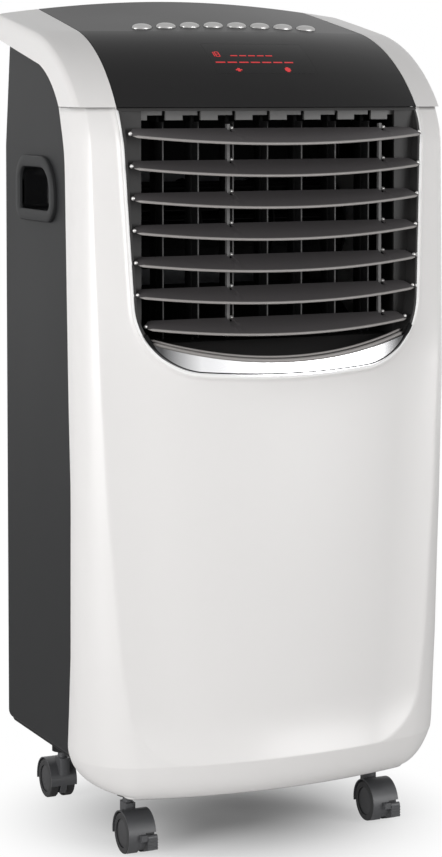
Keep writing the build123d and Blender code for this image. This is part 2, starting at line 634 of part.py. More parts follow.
for index, z in enumerate(louvre_levels):
    half = min(mouth_half(z - 8, 0.5 + DUCT_WALL), mouth_half(z + 8, 0.5 + DUCT_WALL)) - LOUVRE_END_GAP
    wall = mouth_half(z, 0.5)
    front_arc = ThreePointArc((-half, -LOUVRE_FRONT_END), (0, -LOUVRE_FRONT_MID), (half, -LOUVRE_FRONT_END))
    blade_face = make_face([
        front_arc,
        Line((half, -LOUVRE_FRONT_END), (half, 2)),
        Line((half, 2), (half - 6, LOUVRE_REAR)),
        Line((half - 6, LOUVRE_REAR), (-half + 6, LOUVRE_REAR)),
        Line((-half + 6, LOUVRE_REAR), (-half, 2)),
        Line((-half, 2), (-half, -LOUVRE_FRONT_END)),
    ])
    blade = extrude(blade_face, LOUVRE_THICK / 2, both=True)
    for x in TIE_X:
        blade -= block(x - 2.4, x + 2.4, 2.5, 40, -10, 10)
        blade += block(x + 1.9, x + 4.9, 8, TIE_ARM + 2, -1.8, 1.8)
        blade += rod((x - 1.6, TIE_ARM, 0), (x + 2.4, TIE_ARM, 0), TIE_PIN_R)
    for side in (-1, 1):
        blade += rod((side * (half - 6), 0, 0), (side * (wall - 0.4), 0, 0), PIN_R)
    save(f"louvre_{index + 1}", Pos(0, PIN_Y, z) * Rot(LOUVRE_TILT, 0, 0) * blade)
    duct -= rod((-200, PIN_Y, z), (200, PIN_Y, z), PIN_R + RUNNING)

tilt = math.radians(LOUVRE_TILT)
tie_y = PIN_Y + TIE_ARM * math.cos(tilt)
tie_lift = TIE_ARM * math.sin(tilt)
ties = []
for x in TIE_X:
    bar = block(x - 1.5, x + 1.5, tie_y - TIE_HALF, tie_y + TIE_HALF,
                louvre_levels[-1] + tie_lift - 4, louvre_levels[0] + tie_lift + 4)
    for z in louvre_levels:
        bar -= rod((x - 5, tie_y, z + tie_lift), (x + 5, tie_y, z + tie_lift), TIE_PIN_R + RUNNING)
    ties.append(bar)
save("louvre_ties", Compound(ties))

vane_places = [(index - (VANE_COUNT - 1) / 2) * VANE_PITCH for index in range(VANE_COUNT)]
for index, x in enumerate(vane_places):
    vane = block(x - VANE_THICK / 2, x + VANE_THICK / 2, VANE_Y - VANE_FRONT, VANE_Y + VANE_REAR,
                 VANE_LOW_Z, VANE_HIGH_Z)
    vane -= block(x - 5, x + 5, VANE_Y + 4, VANE_Y + 40, LINK_Z - 3, LINK_Z + 3)
    vane += rod((x, VANE_Y + VANE_LINK_OFFSET, LINK_Z - 4), (x, VANE_Y + VANE_LINK_OFFSET, LINK_Z + 4), TIE_PIN_R)
    vane += rod((x, VANE_Y, DUCT_FLOOR_Z - 2), (x, VANE_Y, DUCT_TOP_Z - 1), PIN_R)
    save(f"vane_{index + 1}", vane)
    duct -= rod((x, VANE_Y, DUCT_FLOOR_Z - 20), (x, VANE_Y, DUCT_TOP_Z + 20), PIN_R + RUNNING)
link_y = VANE_Y + VANE_LINK_OFFSET
vane_link = block(vane_places[0] - 5, vane_places[-1] + 5, link_y - 3, link_y + 3, LINK_Z - 1.5, LINK_Z + 1.5)
for x in vane_places:
    vane_link -= rod((x, link_y, LINK_Z - 5), (x, link_y, LINK_Z + 5), TIE_PIN_R + RUNNING)
save("vane_link", vane_link)
save("outlet_duct", duct)

# Bright crescent along the bottom of the mouth
crescent = mouth_face(0.6) & below_trim(0)
trim = through(crescent, FRONT_Y, FRONT_Y + 40) & (casing(1.0) - casing(WALL + 3.8))
save("chrome_trim", trim - duct)

# Partition with drip tray, and the two plates that carry the blower
tray = black_core & block(-300, 300, BULKHEAD_Y + WALL + 0.2, 300, TRAY_Z, TRAY_Z + 3)
tray &= block(-body_half + WALL + 0.2, body_half - WALL - 0.2, -300, REAR_Y - WALL - 0.2, 0, 900)
tray += block(-140, 140, 68, 72, TRAY_Z, TRAY_Z + 12)
for side in (-1, 1):
    near = side * BLOWER_PLATE_X
    tray += block(near - 1.5, near + 1.5, BLOWER_Y - 52, BLOWER_Y + 50, TRAY_Z, BLOWER_Z + 62)
tray -= rod((-200, BLOWER_Y, BLOWER_Z), (200, BLOWER_Y, BLOWER_Z), SHAFT_R + RUNNING)
for x, y, radius in ((SUCTION_X, COIL_MID_Y, PIPE_R), (LIQUID_X, COIL_MID_Y + 8, PIPE_R)):
    tray -= rod((x, y, TRAY_Z - 5), (x, y, TRAY_Z + 10), radius + 0.3)
save("partition_tray", tray)

# Blower scroll: two curved guides that lead the air from the blower into the duct
scroll_half = BLOWER_PLATE_X - 1.5
scroll_front = DUCT_REAR_Y + 0.4
guides = []
for start_z, middle, end in ((DUCT_TOP_Z - 6, (-8, 704), (30, 672)), (DUCT_FLOOR_Z, (-6, 527), (30, 549))):
    guide = make_face([
        ThreePointArc((scroll_front, start_z), middle, end),
        Line(end, (end[0], end[1] - GUIDE_THICK)),
        ThreePointArc((end[0], end[1] - GUIDE_THICK), (middle[0], middle[1] - GUIDE_THICK),
                      (scroll_front, start_z - GUIDE_THICK)),
        Line((scroll_front, start_z - GUIDE_THICK), (scroll_front, start_z)),
    ])
    guides.append(extrude(Plane.YZ * guide, scroll_half, both=True))
save("blower_scroll", Compound(guides))

# Cross-flow blower: discs, a ring of blades and the shaft
blower = rod((-BLOWER_PLATE_X - 1.5, BLOWER_Y, BLOWER_Z), (BLOWER_PLATE_X + 12, BLOWER_Y, BLOWER_Z), SHAFT_R)
for step in range(BLOWER_DISCS):
    x = -BLOWER_HALF + step * (2 * BLOWER_HALF - 2) / (BLOWER_DISCS - 1)
    blower += rod((x, BLOWER_Y, BLOWER_Z), (x + 2, BLOWER_Y, BLOWER_Z), BLOWER_R)
blade_ring = Sketch() + [
    Rot(0, 0, index * 360 / BLOWER_BLADES) * Pos(BLOWER_R - 7, 0) * Rot(0, 0, 35) * Rectangle(9, 1.4)
    for index in range(BLOWER_BLADES)
]
blower_plane = Plane(origin=(-BLOWER_HALF, BLOWER_Y, BLOWER_Z), x_dir=(0, 1, 0), z_dir=(1, 0, 0))
blower += extrude(blower_plane * blade_ring, 2 * BLOWER_HALF)
save("blower_wheel", blower)

# Condenser fan in line with the exhaust collar
fan = rod((EXHAUST_X, FAN_Y - 14, EXHAUST_Z), (EXHAUST_X, FAN_Y + 24, EXHAUST_Z), SHAFT_R)
fan += rod((EXHAUST_X, FAN_Y, EXHAUST_Z), (EXHAUST_X, FAN_Y + 22, EXHAUST_Z), FAN_HUB_R)
for index in range(FAN_BLADES):
    reach = (FAN_R + FAN_HUB_R) / 2
    blade = Pos(0, 0, reach) * Rot(0, 0, 32) * Box(34, 2, FAN_R - FAN_HUB_R + 6)
    blade = Rot(0, index * 360 / FAN_BLADES, 0) * blade
    fan += Pos(EXHAUST_X, FAN_Y + 11, EXHAUST_Z) * blade
save("condenser_fan", fan)

motor = rod((EXHAUST_X, FAN_Y - 58, EXHAUST_Z), (EXHAUST_X, FAN_Y - 6, EXHAUST_Z), MOTOR_R)
motor += block(EXHAUST_X - 14, EXHAUST_X + 14, FAN_Y - 46, FAN_Y - 22, pan_floor, EXHAUST_Z - 20)
motor -= rod((EXHAUST_X, FAN_Y - 20, EXHAUST_Z), (EXHAUST_X, 160, EXHAUST_Z), SHAFT_R + RUNNING)
blower_motor = rod((BLOWER_PLATE_X + 1.5, BLOWER_Y, BLOWER_Z), (BLOWER_PLATE_X + 20, BLOWER_Y, BLOWER_Z), MOTOR_R)
blower_motor -= rod((0, BLOWER_Y, BLOWER_Z), (BLOWER_PLATE_X + 14, BLOWER_Y, BLOWER_Z), SHAFT_R + RUNNING)
save("fan_motors", Compound([motor, blower_motor]))


def coil(x0, x1, y0, y1, z0, z1):
    """Finned block with end plates and two columns of tubes whose ends stand out."""
    body = block(x0, x1, y0 + 1.5, y1 - 1.5, z0 + 2, z1 - 2)
    for x in (x0, x1 - 2):
        body += block(x, x + 2, y0, y1, z0, z1)
    rows = int((z1 - z0) / 26)
    for row in range(rows):
        z = z0 + 13 + row * (z1 - z0 - 26) / (rows - 1)
        for y in (y0 + (y1 - y0) * 0.28, y0 + (y1 - y0) * 0.72):
            body += rod((x0 - 6, y, z), (x1 + 6, y, z), 4.0)
    return body


save("evaporator_coil", coil(-128, 128, 78, 108, TRAY_Z + 3, 744))
save("condenser_coil", coil(18, 156, 92, 122, STEM_TOP_Z + 10, 404))

# Compressor on rubber grommets, with its accumulator
shell = rod((COMPRESSOR_X, COMPRESSOR_Y, pan_floor + 20), (COMPRESSOR_X, COMPRESSOR_Y, COMPRESSOR_TOP_Z), 50)
shell = fillet(shell.edges().filter_by(GeomType.CIRCLE), 20)
feet_plate = rod((COMPRESSOR_X, COMPRESSOR_Y, pan_floor + 14), (COMPRESSOR_X, COMPRESSOR_Y, pan_floor + 24), 30)
for x, y in feet:
    feet_plate += rod((x, y, pan_floor + 14), (x, y, pan_floor + 17), 11)
    angle = math.degrees(math.atan2(y - COMPRESSOR_Y, x - COMPRESSOR_X))
    arm = Pos(33, 0, 1.5) * Box(66, 20, 3)
    feet_plate += Pos(COMPRESSOR_X, COMPRESSOR_Y, pan_floor + 14) * Rot(0, 0, angle) * arm
for x, y in feet:
    feet_plate -= rod((x, y, 0), (x, y, 200), 3.3)
tank = rod((SUCTION_TANK_X, COMPRESSOR_Y, 150), (SUCTION_TANK_X, COMPRESSOR_Y, 270), 17)
tank = fillet(tank.edges().filter_by(GeomType.CIRCLE), 8)
tank += rod((COMPRESSOR_X + 40, COMPRESSOR_Y, 180), (SUCTION_TANK_X, COMPRESSOR_Y, 180), PIPE_R)
save("compressor", shell + feet_plate + tank)
grommets = []
for x, y in feet:
    ring = rod((x, y, pan_floor), (x, y, pan_floor + 14), 9)
    grommets.append(ring - rod((x, y, 0), (x, y, 200), 3.05))
save("compressor_grommets", Compound(grommets))


def pipe(points, bend):
    """A round tube along straight runs joined by arcs."""
    path = FilletPolyline(points, radius=bend)
    start = Plane(origin=points[0], z_dir=Vector(*points[1]) - Vector(*points[0]))
    return sweep(start * Circle(PIPE_R), path)


suction = pipe([
    (SUCTION_X, COIL_MID_Y, TRAY_Z + 3),
    (SUCTION_X, COIL_MID_Y, TRAY_Z - 18),
    (SUCTION_X, COMPRESSOR_Y, TRAY_Z - 18),
    (SUCTION_TANK_X, COMPRESSOR_Y, TRAY_Z - 18),
    (SUCTION_TANK_X, COMPRESSOR_Y, 270),
], 12)
discharge = pipe([
    (COMPRESSOR_X, COMPRESSOR_Y, COMPRESSOR_TOP_Z),
    (COMPRESSOR_X, COMPRESSOR_Y, COMPRESSOR_TOP_Z + 30),
    (COMPRESSOR_X, 93.5, COMPRESSOR_TOP_Z + 30),
], 14)
liquid = rod((LIQUID_X, COIL_MID_Y + 8, 402), (LIQUID_X, COIL_MID_Y + 8, TRAY_Z + 5), PIPE_R)
save("refrigerant_pipes", Compound([suction, discharge, liquid]))
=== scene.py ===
# %% [markdown]
# # A portable air conditioner
# The cabinet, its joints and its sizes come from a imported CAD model. This lesson dresses that model: it
# gives every part a finish, and it makes smoother surfaces where a mould leaves flowing shapes.
# Everything stays in the frame of the CAD, so a new piece needs no fitting. Blender counts in metres.
# New shapes are worked out in millimetres and divided by 1000 when they become a mesh.

# %% load the frame
import json
import bpy
import bmesh
import numpy as np
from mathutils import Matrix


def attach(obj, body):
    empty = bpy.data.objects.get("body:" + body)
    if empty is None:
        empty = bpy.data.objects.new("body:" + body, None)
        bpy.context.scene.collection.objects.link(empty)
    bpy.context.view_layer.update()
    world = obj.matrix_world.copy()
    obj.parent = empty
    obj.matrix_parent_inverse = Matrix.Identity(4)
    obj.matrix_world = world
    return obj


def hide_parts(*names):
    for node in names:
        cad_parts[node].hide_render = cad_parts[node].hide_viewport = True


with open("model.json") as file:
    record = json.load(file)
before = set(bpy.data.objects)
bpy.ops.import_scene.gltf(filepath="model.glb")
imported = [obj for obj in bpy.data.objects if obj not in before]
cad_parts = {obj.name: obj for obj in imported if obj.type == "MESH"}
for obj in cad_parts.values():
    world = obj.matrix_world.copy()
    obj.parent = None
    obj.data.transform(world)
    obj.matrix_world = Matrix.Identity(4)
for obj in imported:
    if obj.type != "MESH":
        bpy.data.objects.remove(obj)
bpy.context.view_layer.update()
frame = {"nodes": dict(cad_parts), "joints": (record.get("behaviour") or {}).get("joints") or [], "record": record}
nodes = frame["nodes"]

# %% [markdown]
# ## Light and camera
# The cabinet stands in a pale studio. A weak even sky fills the shadows, a broad lamp on the left
# models the black side and the shell's edge, and a second one in front on the right lights the white
# front. A picture of a real studio could light it too, but two lamps and a plain sky need no file, and
# each can be moved on its own. The sky is a tree of shader nodes, so a helper that adds a node comes
# first.

# %% sky
WHITE = (1.0, 1.0, 1.0, 1.0)
SKY_LIGHT = 0.24


def add_node(tree, kind, operation=None, links=(), values=()):
    """Adds a shader node. links and values are dictionaries that go by a socket's name or number."""
    node = tree.nodes.new("ShaderNode" + kind)
    if operation:
        node.operation = operation
    for socket, source in dict(links).items():
        tree.links.new(source, node.inputs[socket])
    for socket, value in dict(values).items():
        node.inputs[socket].default_value = value
    return node


def studio_sky():
    """An even sky: white to the camera, in mirrors and through glass, and dimmer as a light."""
    world = bpy.data.worlds.new("studio_sky")
    world.use_nodes = True
    tree = world.node_tree
    tree.nodes.clear()
    ray = add_node(tree, "LightPath").outputs
    clear = add_node(tree, "Math", "MAXIMUM", {0: ray["Is Glossy Ray"], 1: ray["Is Transmission Ray"]})
    seen = add_node(tree, "Math", "MAXIMUM", {0: ray["Is Camera Ray"], 1: clear.outputs[0]})
    dim = add_node(tree, "Background", values={"Color": WHITE, "Strength": SKY_LIGHT})
    bright = add_node(tree, "Background", values={"Color": WHITE, "Strength": 1.0})
    pick = add_node(tree, "MixShader",
                    links={0: seen.outputs[0], 1: dim.outputs[0], 2: bright.outputs[0]})
    add_node(tree, "OutputWorld", links={"Surface": pick.outputs[0]})
    return world


scene = bpy.context.scene
scene.view_settings.view_transform = "Standard"
scene.world = studio_sky()
print("sky", scene.world.name, "lights with", SKY_LIGHT)


# %% lamps
def soft_lamp(name, place, target, size, power):
    """A rectangular area lamp that faces a target point."""
    data = bpy.data.lights.new(name, "AREA")
    data.shape = "RECTANGLE"
    data.size, data.size_y = size
    data.energy = power
    lamp = bpy.data.objects.new(name, data)
    aim = np.array(target) - np.array(place)
    lamp.location = place
    lamp.rotation_euler = (np.arctan2(np.hypot(aim[0], aim[1]), -aim[2]), 0.0,
                           np.arctan2(-aim[0], aim[1]))
    scene.collection.objects.link(lamp)
    print(name, "of", power, "watts")


soft_lamp("left_softbox", place=(-2.7, -1.2, 0.6), target=(0.0, -0.1, 0.45), size=(1.6, 1.6), power=62.0)
soft_lamp("front_softbox", place=(1.9, -2.9, 0.8), target=(0.0, 0.0, 0.45), size=(1.8, 1.4), power=48.0)

# %% camera
# A long lens from about 2.5 m away keeps upright edges nearly parallel. The shift slides the picture
# without tilting the camera.
LOOK_DOWN, LOOK_ASIDE = np.radians(3.435), np.radians(24.458)

camera_data = bpy.data.cameras.new("photo_camera")
camera_data.lens = 104.06
camera_data.sensor_width = 36.0
camera_data.shift_y = -0.22
camera_data.clip_end = 50.0
camera = bpy.data.objects.new("photo_camera", camera_data)
camera.location = (-1.0470, -2.2944, 0.7454)
camera.rotation_euler = (np.pi / 2 - LOOK_DOWN, 0.0, -LOOK_ASIDE)
scene.collection.objects.link(camera)
scene.camera = camera
print("camera at", [round(c, 3) for c in camera.location], "lens", camera_data.lens)

# %% [markdown]
# ## Floor
# A pale floor catches the soft shadow under the casters and fades into the white background, so that
# the cabinet stands free as on a catalogue page. A plane would do. A disc of rings is used because it
# shows how every surface in this lesson is made: points on a grid of rows and columns, with faces that
# follow from the grid's shape alone.

# %% grid faces
def grid_faces(rows, columns, around=False, lids=(), start=0):
    """Quads that join each point to its right and lower neighbours. around closes every row into a
    ring, and lids names rows that one face covers as a whole."""
    index = start + np.arange(rows * columns).reshape(rows, columns)
    wide = np.concatenate([index, index[:, :1]], 1) if around else index
    quads = np.stack([wide[:-1, :-1], wide[1:, :-1], wide[1:, 1:], wide[:-1, 1:]], -1)
    return quads.reshape(-1, 4).tolist() + [index[row].tolist() for row in lids]


def full_turn(steps):
    """Even angles once round a circle, without its first angle a second time."""
    return np.linspace(0.0, 2.0 * np.pi, steps + 1)[:-1]


print("a grid of 3 by 4 points has", len(grid_faces(3, 4)), "faces")

# %% floor
FLOOR_RINGS = np.array([0.02, 0.5, 1.0, 2.0, 3.0])


def studio_floor():
    """A flat disc, in metres: the radius of each ring times the cosine and the sine of each angle."""
    angle = full_turn(64)
    x, y = np.outer(FLOOR_RINGS, np.cos(angle)), np.outer(FLOOR_RINGS, np.sin(angle))
    points = np.stack([x, y, np.zeros_like(x)], -1).reshape(-1, 3)
    mesh = bpy.data.meshes.new("studio_floor")
    mesh.from_pydata(points.tolist(), [], grid_faces(*x.shape, around=True, lids=[0]))
    disc = bpy.data.objects.new("studio_floor", mesh)
    scene.collection.objects.link(disc)
    return disc


def floor_finish(near, far):
    """White paper: a lit surface near the middle that fades to plain white from near to far, in metres."""
    material = bpy.data.materials.new("studio_paper")
    material.use_nodes = True
    tree = material.node_tree
    tree.nodes.clear()
    reach = add_node(tree, "VectorMath", "LENGTH", {0: add_node(tree, "TexCoord").outputs["Object"]})
    fade = add_node(tree, "MapRange", None, {"Value": reach.outputs["Value"]},
                    {"From Min": near, "From Max": far})
    fade.interpolation_type = "SMOOTHSTEP"
    paper = add_node(tree, "BsdfDiffuse", values={"Color": (0.93, 0.93, 0.93, 1.0)})
    white = add_node(tree, "Emission", values={"Color": WHITE})
    ray = add_node(tree, "LightPath").outputs
    both = add_node(tree, "Math", "MULTIPLY", {0: fade.outputs["Result"], 1: ray["Is Camera Ray"]})
    blend = add_node(tree, "MixShader",
                     links={0: both.outputs[0], 1: paper.outputs[0], 2: white.outputs[0]})
    add_node(tree, "OutputMaterial", links={"Surface": blend.outputs[0]})
    return material


floor = studio_floor()
floor.data.materials.append(floor_finish(near=0.02, far=0.27))
print("floor radius", FLOOR_RINGS[-1])

# %% [markdown]
# ## Finishes
# Moulded plastic is never one flat colour. Its skin has a fine spark-eroded grain, its tone drifts a
# little over a hand's width, and handling polishes some places. Pictures could show this, but they
# would have to be laid on every part. One node group makes the three effects from noise on object
# coordinates instead, and each material uses it with values of its own.

# %% grain group
def grain_group():
    """Fine noise makes bumps. Slow noise, less a half and times an amount, is added to one to make a
    factor for the tone and another for the roughness."""
    group = bpy.data.node_groups.new("moulded_grain", "ShaderNodeTree")
    defaults = {"Grain Scale": 900.0, "Drift Scale": 5.0, "Drift": 0.06, "Polish": 0.08}
    for name, value in defaults.items():
        socket = group.interface.new_socket(name, in_out="INPUT", socket_type="NodeSocketFloat")
        socket.default_value = value
    group.interface.new_socket("Base", in_out="INPUT", socket_type="NodeSocketColor")
    group.interface.new_socket("Roughness In", in_out="INPUT", socket_type="NodeSocketFloat")
    for name, kind in (("Color", "Color"), ("Roughness", "Float"), ("Height", "Float")):
        group.interface.new_socket(name, in_out="OUTPUT", socket_type="NodeSocket" + kind)
    given = group.nodes.new("NodeGroupInput").outputs
    result = group.nodes.new("NodeGroupOutput").inputs
    place = add_node(group, "TexCoord").outputs["Object"]
    fine = add_node(group, "TexNoise", None,
                    {"Vector": place, "Scale": given["Grain Scale"]}, {"Detail": 2.0})
    slow = add_node(group, "TexNoise", None,
                    {"Vector": place, "Scale": given["Drift Scale"]}, {"Detail": 3.0})
    wave = add_node(group, "Math", "SUBTRACT", {0: slow.outputs["Fac"]}, {1: 0.5}).outputs[0]
    drift = add_node(group, "Math", "MULTIPLY_ADD", {0: wave, 1: given["Drift"]}, {2: 1.0})
    polish = add_node(group, "Math", "MULTIPLY_ADD", {0: wave, 1: given["Polish"]}, {2: 1.0})
    tone = add_node(group, "VectorMath", "SCALE", {0: given["Base"], "Scale": drift.outputs[0]})
    rough = add_node(group, "Math", "MULTIPLY", {0: given["Roughness In"], 1: polish.outputs[0]})
    group.links.new(tone.outputs["Vector"], result["Color"])
    group.links.new(rough.outputs[0], result["Roughness"])
    group.links.new(fine.outputs["Fac"], result["Height"])
    return group


GRAIN = grain_group()
print("group", GRAIN.name, "with", len(GRAIN.interface.items_tree), "sockets")

# %% [markdown]
# ### The mouldings outside
# One helper makes every finish, so a finish is a single line of values. The white shell has a thin
# clear gloss over a fine grain. The black housing is rougher, and the panel with its window is smooth.
# Most blacks have a low specular level, because the pale studio would turn them grey. Only the cup of
# the hand holds keeps its shine.

# %% outer mouldings
GRAIN_DEPTH = 0.0005
FINISHES = {}


def finish(name, base, rough, grain=1200.0, bump=0.06, drift=0.1, polish=0.2, **sockets):
    """One finish: the grain group feeds colour, roughness and bump, and sockets go to the shader."""
    material = bpy.data.materials.new(name)
    material.use_nodes = True
    tree = material.node_tree
    shader = tree.nodes["Principled BSDF"]
    skin = add_node(tree, "Group")
    skin.node_tree = GRAIN
    values = {"Base": (*base, 1.0), "Roughness In": rough, "Grain Scale": grain,
              "Drift": drift, "Polish": polish}
    for socket, value in values.items():
        skin.inputs[socket].default_value = value
    relief = add_node(tree, "Bump", None, {"Height": skin.outputs["Height"]},
                      {"Strength": bump, "Distance": GRAIN_DEPTH})
    tree.links.new(skin.outputs["Color"], shader.inputs["Base Color"])
    tree.links.new(skin.outputs["Roughness"], shader.inputs["Roughness"])
    tree.links.new(relief.outputs["Normal"], shader.inputs["Normal"])
    for socket, value in sockets.items():
        shader.inputs[socket.replace("_", " ")].default_value = value
    FINISHES[name] = material


finish("white_shell", (0.80, 0.785, 0.775), 0.36, grain=1600.0, bump=0.03, drift=0.03, polish=0.1,
       Coat_Weight=0.25, Coat_Roughness=0.2)
# The lip is painted a brighter white than the shell it belongs to: a painted highlight.
finish("lip_highlight_white", (0.90, 0.895, 0.89), 0.3, grain=1600.0, bump=0.02, drift=0.03, polish=0.1)
finish("gloss_black", (0.0180, 0.0176, 0.0180), 0.36, bump=0.02, Specular_IOR_Level=0.09)
finish("display_glass", (0.0175, 0.0172, 0.0177), 0.32, bump=0.0, Specular_IOR_Level=0.09)
finish("charcoal_shell", (0.0120, 0.0124, 0.0132), 0.55, grain=1400.0, bump=0.12, drift=0.12,
       Specular_IOR_Level=0.3)
finish("cup_black", (0.008, 0.008, 0.0085), 0.22, bump=0.01)
finish("dark_plastic", (0.010, 0.010, 0.0105), 0.6, grain=1400.0, bump=0.1, drift=0.12,
       Specular_IOR_Level=0.2)
finish("led_red", (0.30, 0.012, 0.014), 0.5, grain=1500.0, bump=0.0, drift=0.25,
       Emission_Color=(0.75, 0.03, 0.035, 1.0), Emission_Strength=0.55)
print("finishes so far", len(FINISHES))

# %% [markdown]
# ### The mouth and the casters
# Louvres, vanes and duct are one grey, painted darker the deeper they lie as painted shade. The casters
# are a harder, smoother plastic, with wheels that are a shade darker than their hoods.

# %% mouth and caster plastics
finish("louvre_plastic", (0.098, 0.092, 0.094), 0.5, grain=1400.0, Specular_IOR_Level=0.3)
# The next grey is lighter than the louvres: on their noses it is a painted highlight, and it also colours the ribs
# of the mouth ledge.
finish("edge_grey", (0.30, 0.285, 0.275), 0.4, bump=0.03)
finish("vane_grey", (0.10, 0.098, 0.098), 0.5, bump=0.03)
finish("rail_grey", (0.085, 0.083, 0.082), 0.45, bump=0.05, drift=0.12)
# Painted shade: the next two are the grey of the mouth made darker for the parts deep in it. The black one also
# draws the hairline joint under the mouth.
finish("duct_shade_grey", (0.030, 0.029, 0.029), 0.5, bump=0.08, drift=0.15, Specular_IOR_Level=0.3)
finish("shade_and_joint_black", (0.006, 0.006, 0.0062), 0.7, bump=0.1, drift=0.2, Specular_IOR_Level=0.12)
finish("caster_plastic", (0.075, 0.076, 0.080), 0.42, grain=1400.0, bump=0.08, drift=0.12)
finish("wheel_plastic", (0.028, 0.028, 0.029), 0.5, grain=1000.0, bump=0.1, drift=0.15)
finish("cap_grey", (0.050, 0.050, 0.052), 0.45, drift=0.12)
print("finishes so far", len(FINISHES))

# %% [markdown]
# ### Metals and the parts inside
# The crescent under the mouth is plated plastic. Plating mirrors the room, which is bright in front and
# dark at the sides. A modelled room could show that, and a ramp across the trim does it with less: the
# colour goes from bright to dark by the distance from the middle.

# %% metals and inner parts
finish("chrome", (0.80, 0.80, 0.81), 0.26, grain=600.0, bump=0.0, drift=0.04, polish=0.3, Metallic=1.0)
finish("button_silver", (0.46, 0.455, 0.45), 0.3, grain=900.0, bump=0.02, Metallic=0.5)
finish("clip_metal", (0.62, 0.61, 0.60), 0.3, grain=700.0, bump=0.03, drift=0.15, Metallic=0.7)
finish("screw_steel", (0.30, 0.30, 0.31), 0.35, grain=800.0, bump=0.05, drift=0.2, Metallic=1.0)
finish("motor_steel", (0.42, 0.42, 0.43), 0.38, grain=500.0, bump=0.04, drift=0.12, Metallic=1.0)
finish("copper", (0.72, 0.36, 0.2), 0.3, grain=400.0, bump=0.03, drift=0.2, Metallic=1.0)
finish("aluminium_fins", (0.030, 0.032, 0.036), 0.5, grain=500.0, bump=0.04, Metallic=0.3)
finish("compressor_paint", (0.02, 0.02, 0.021), 0.42, grain=500.0, bump=0.1, drift=0.2)
finish("circuit_board", (0.03, 0.16, 0.07), 0.5, grain=400.0, bump=0.05, drift=0.3)
finish("rubber", (0.018, 0.018, 0.018), 0.75, grain=700.0, bump=0.1, drift=0.2)
finish("tray_plastic", (0.42, 0.42, 0.42), 0.5, drift=0.08)
finish("fan_plastic", (0.05, 0.05, 0.052), 0.5, grain=1000.0)
finish("filter_mesh", (0.12, 0.12, 0.125), 0.7, grain=900.0, bump=0.3, drift=0.2)


def darker_ends(material, end, near, far):
    """The base colour runs to end as the distance from the plane X = 0 goes from near to far, in metres."""
    tree = material.node_tree
    base = next(node for node in tree.nodes if node.type == "GROUP").inputs["Base"]
    split = add_node(tree, "SeparateXYZ", links={0: add_node(tree, "TexCoord").outputs["Object"]})
    size = add_node(tree, "Math", "ABSOLUTE", {0: split.outputs["X"]})
    span = add_node(tree, "MapRange", None, {"Value": size.outputs[0]}, {"From Min": near, "From Max": far})
    blend = add_node(tree, "ValToRGB", links={"Fac": span.outputs["Result"]})
    blend.color_ramp.elements[0].color = base.default_value
    blend.color_ramp.elements[1].color = (*end, 1.0)
    tree.links.new(blend.outputs["Color"], base)


darker_ends(FINISHES["chrome"], end=(0.09, 0.09, 0.092), near=0.090, far=0.128)
print("finishes", len(FINISHES))

# %% [markdown]
# ## Paint the CAD parts
# The record names a material slot for every node. Each node's own slots are filled with the finish of
# that name, so the solids already look right before any new surface is made. The nodes in the mouth
# get finishes of their own as painted shade: nearly black for the deepest, because little light reaches
# them in a real cabinet, and greys for the duct and the tie rods, which still show in front of the dark.

# %% paint
painted = {part["node"]: part["material_slot"] for part in frame["record"]["subparts"]}
# Painted shade: darker finishes for the nodes that lie deep in the mouth.
in_mouth = {"blower_scroll": "shade_and_joint_black", "blower_wheel": "shade_and_joint_black", "outlet_duct": "duct_shade_grey",
            "louvre_ties": "vane_grey", "vane_link": "shade_and_joint_black"}
in_mouth.update({f"vane_{number}": "shade_and_joint_black" for number in range(1, 8)})
for name, thing in nodes.items():
    thing.data.materials.clear()
    thing.data.materials.append(FINISHES[in_mouth.get(name, painted[name])])
print("painted", len(painted), "nodes,", len(in_mouth), "of them in the mouth")

# %% [markdown]
# ## A helper for new pieces
# A new piece is one or more grids of points. This helper joins them into a mesh, merges points that lie
# on each other, turns the faces outwards, softens the shading and hangs the piece on its body of the
# CAD. A piece that shows a CAD part in a better form also hides the nodes it stands for.

# %% piece helper
def new_piece(name, grids, slot, body="cabinet", stands_for=(), look=None,
              around=True, lids=(), angle=40.0):
    """Joins grids of millimetre points into one object, gives it the look or else the slot's finish,
    hangs it on a body and hides the CAD nodes it stands for.
    """
    sizes = [grid.shape[:2] for grid in grids]
    starts = np.cumsum([0] + [rows * columns for rows, columns in sizes])
    points = np.concatenate([grid.reshape(-1, 3) for grid in grids]) / 1000.0
    faces = sum([grid_faces(*size, around, lids, start) for size, start in zip(sizes, starts)], [])
    mesh = bpy.data.meshes.new(name)
    mesh.from_pydata(points.tolist(), [], faces)
    shape = bmesh.new()
    shape.from_mesh(mesh)
    bmesh.ops.remove_doubles(shape, verts=shape.verts, dist=1e-6)
    bmesh.ops.recalc_face_normals(shape, faces=shape.faces)
    shape.to_mesh(mesh)
    shape.free()
    mesh.shade_smooth()
    mesh.set_sharp_from_angle(angle=np.radians(angle))
    mesh.materials.append(FINISHES[look or slot])
    piece = bpy.data.objects.new(name, mesh)
    scene.collection.objects.link(piece)
    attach(piece, body)
    if stands_for:
        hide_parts(*stands_for)
    print(name, len(mesh.vertices), "points", len(mesh.polygons), "faces")
    return piece


# %% [markdown]
# ## The white front shell
# The front is one big moulding: bowed in plan, with round corners that get softer towards the floor, a
# mouth with a thin raised lip, and a shallow dish below it that ends in a U-shaped crest before the
# shell rounds under. It could be carved with booleans, but then every edge would need a bevel. Instead
# one function gives the outer skin for a place across the front and a height, and the grid is laid so
# that its first row follows the mouth. The lines that bound the skin come first.

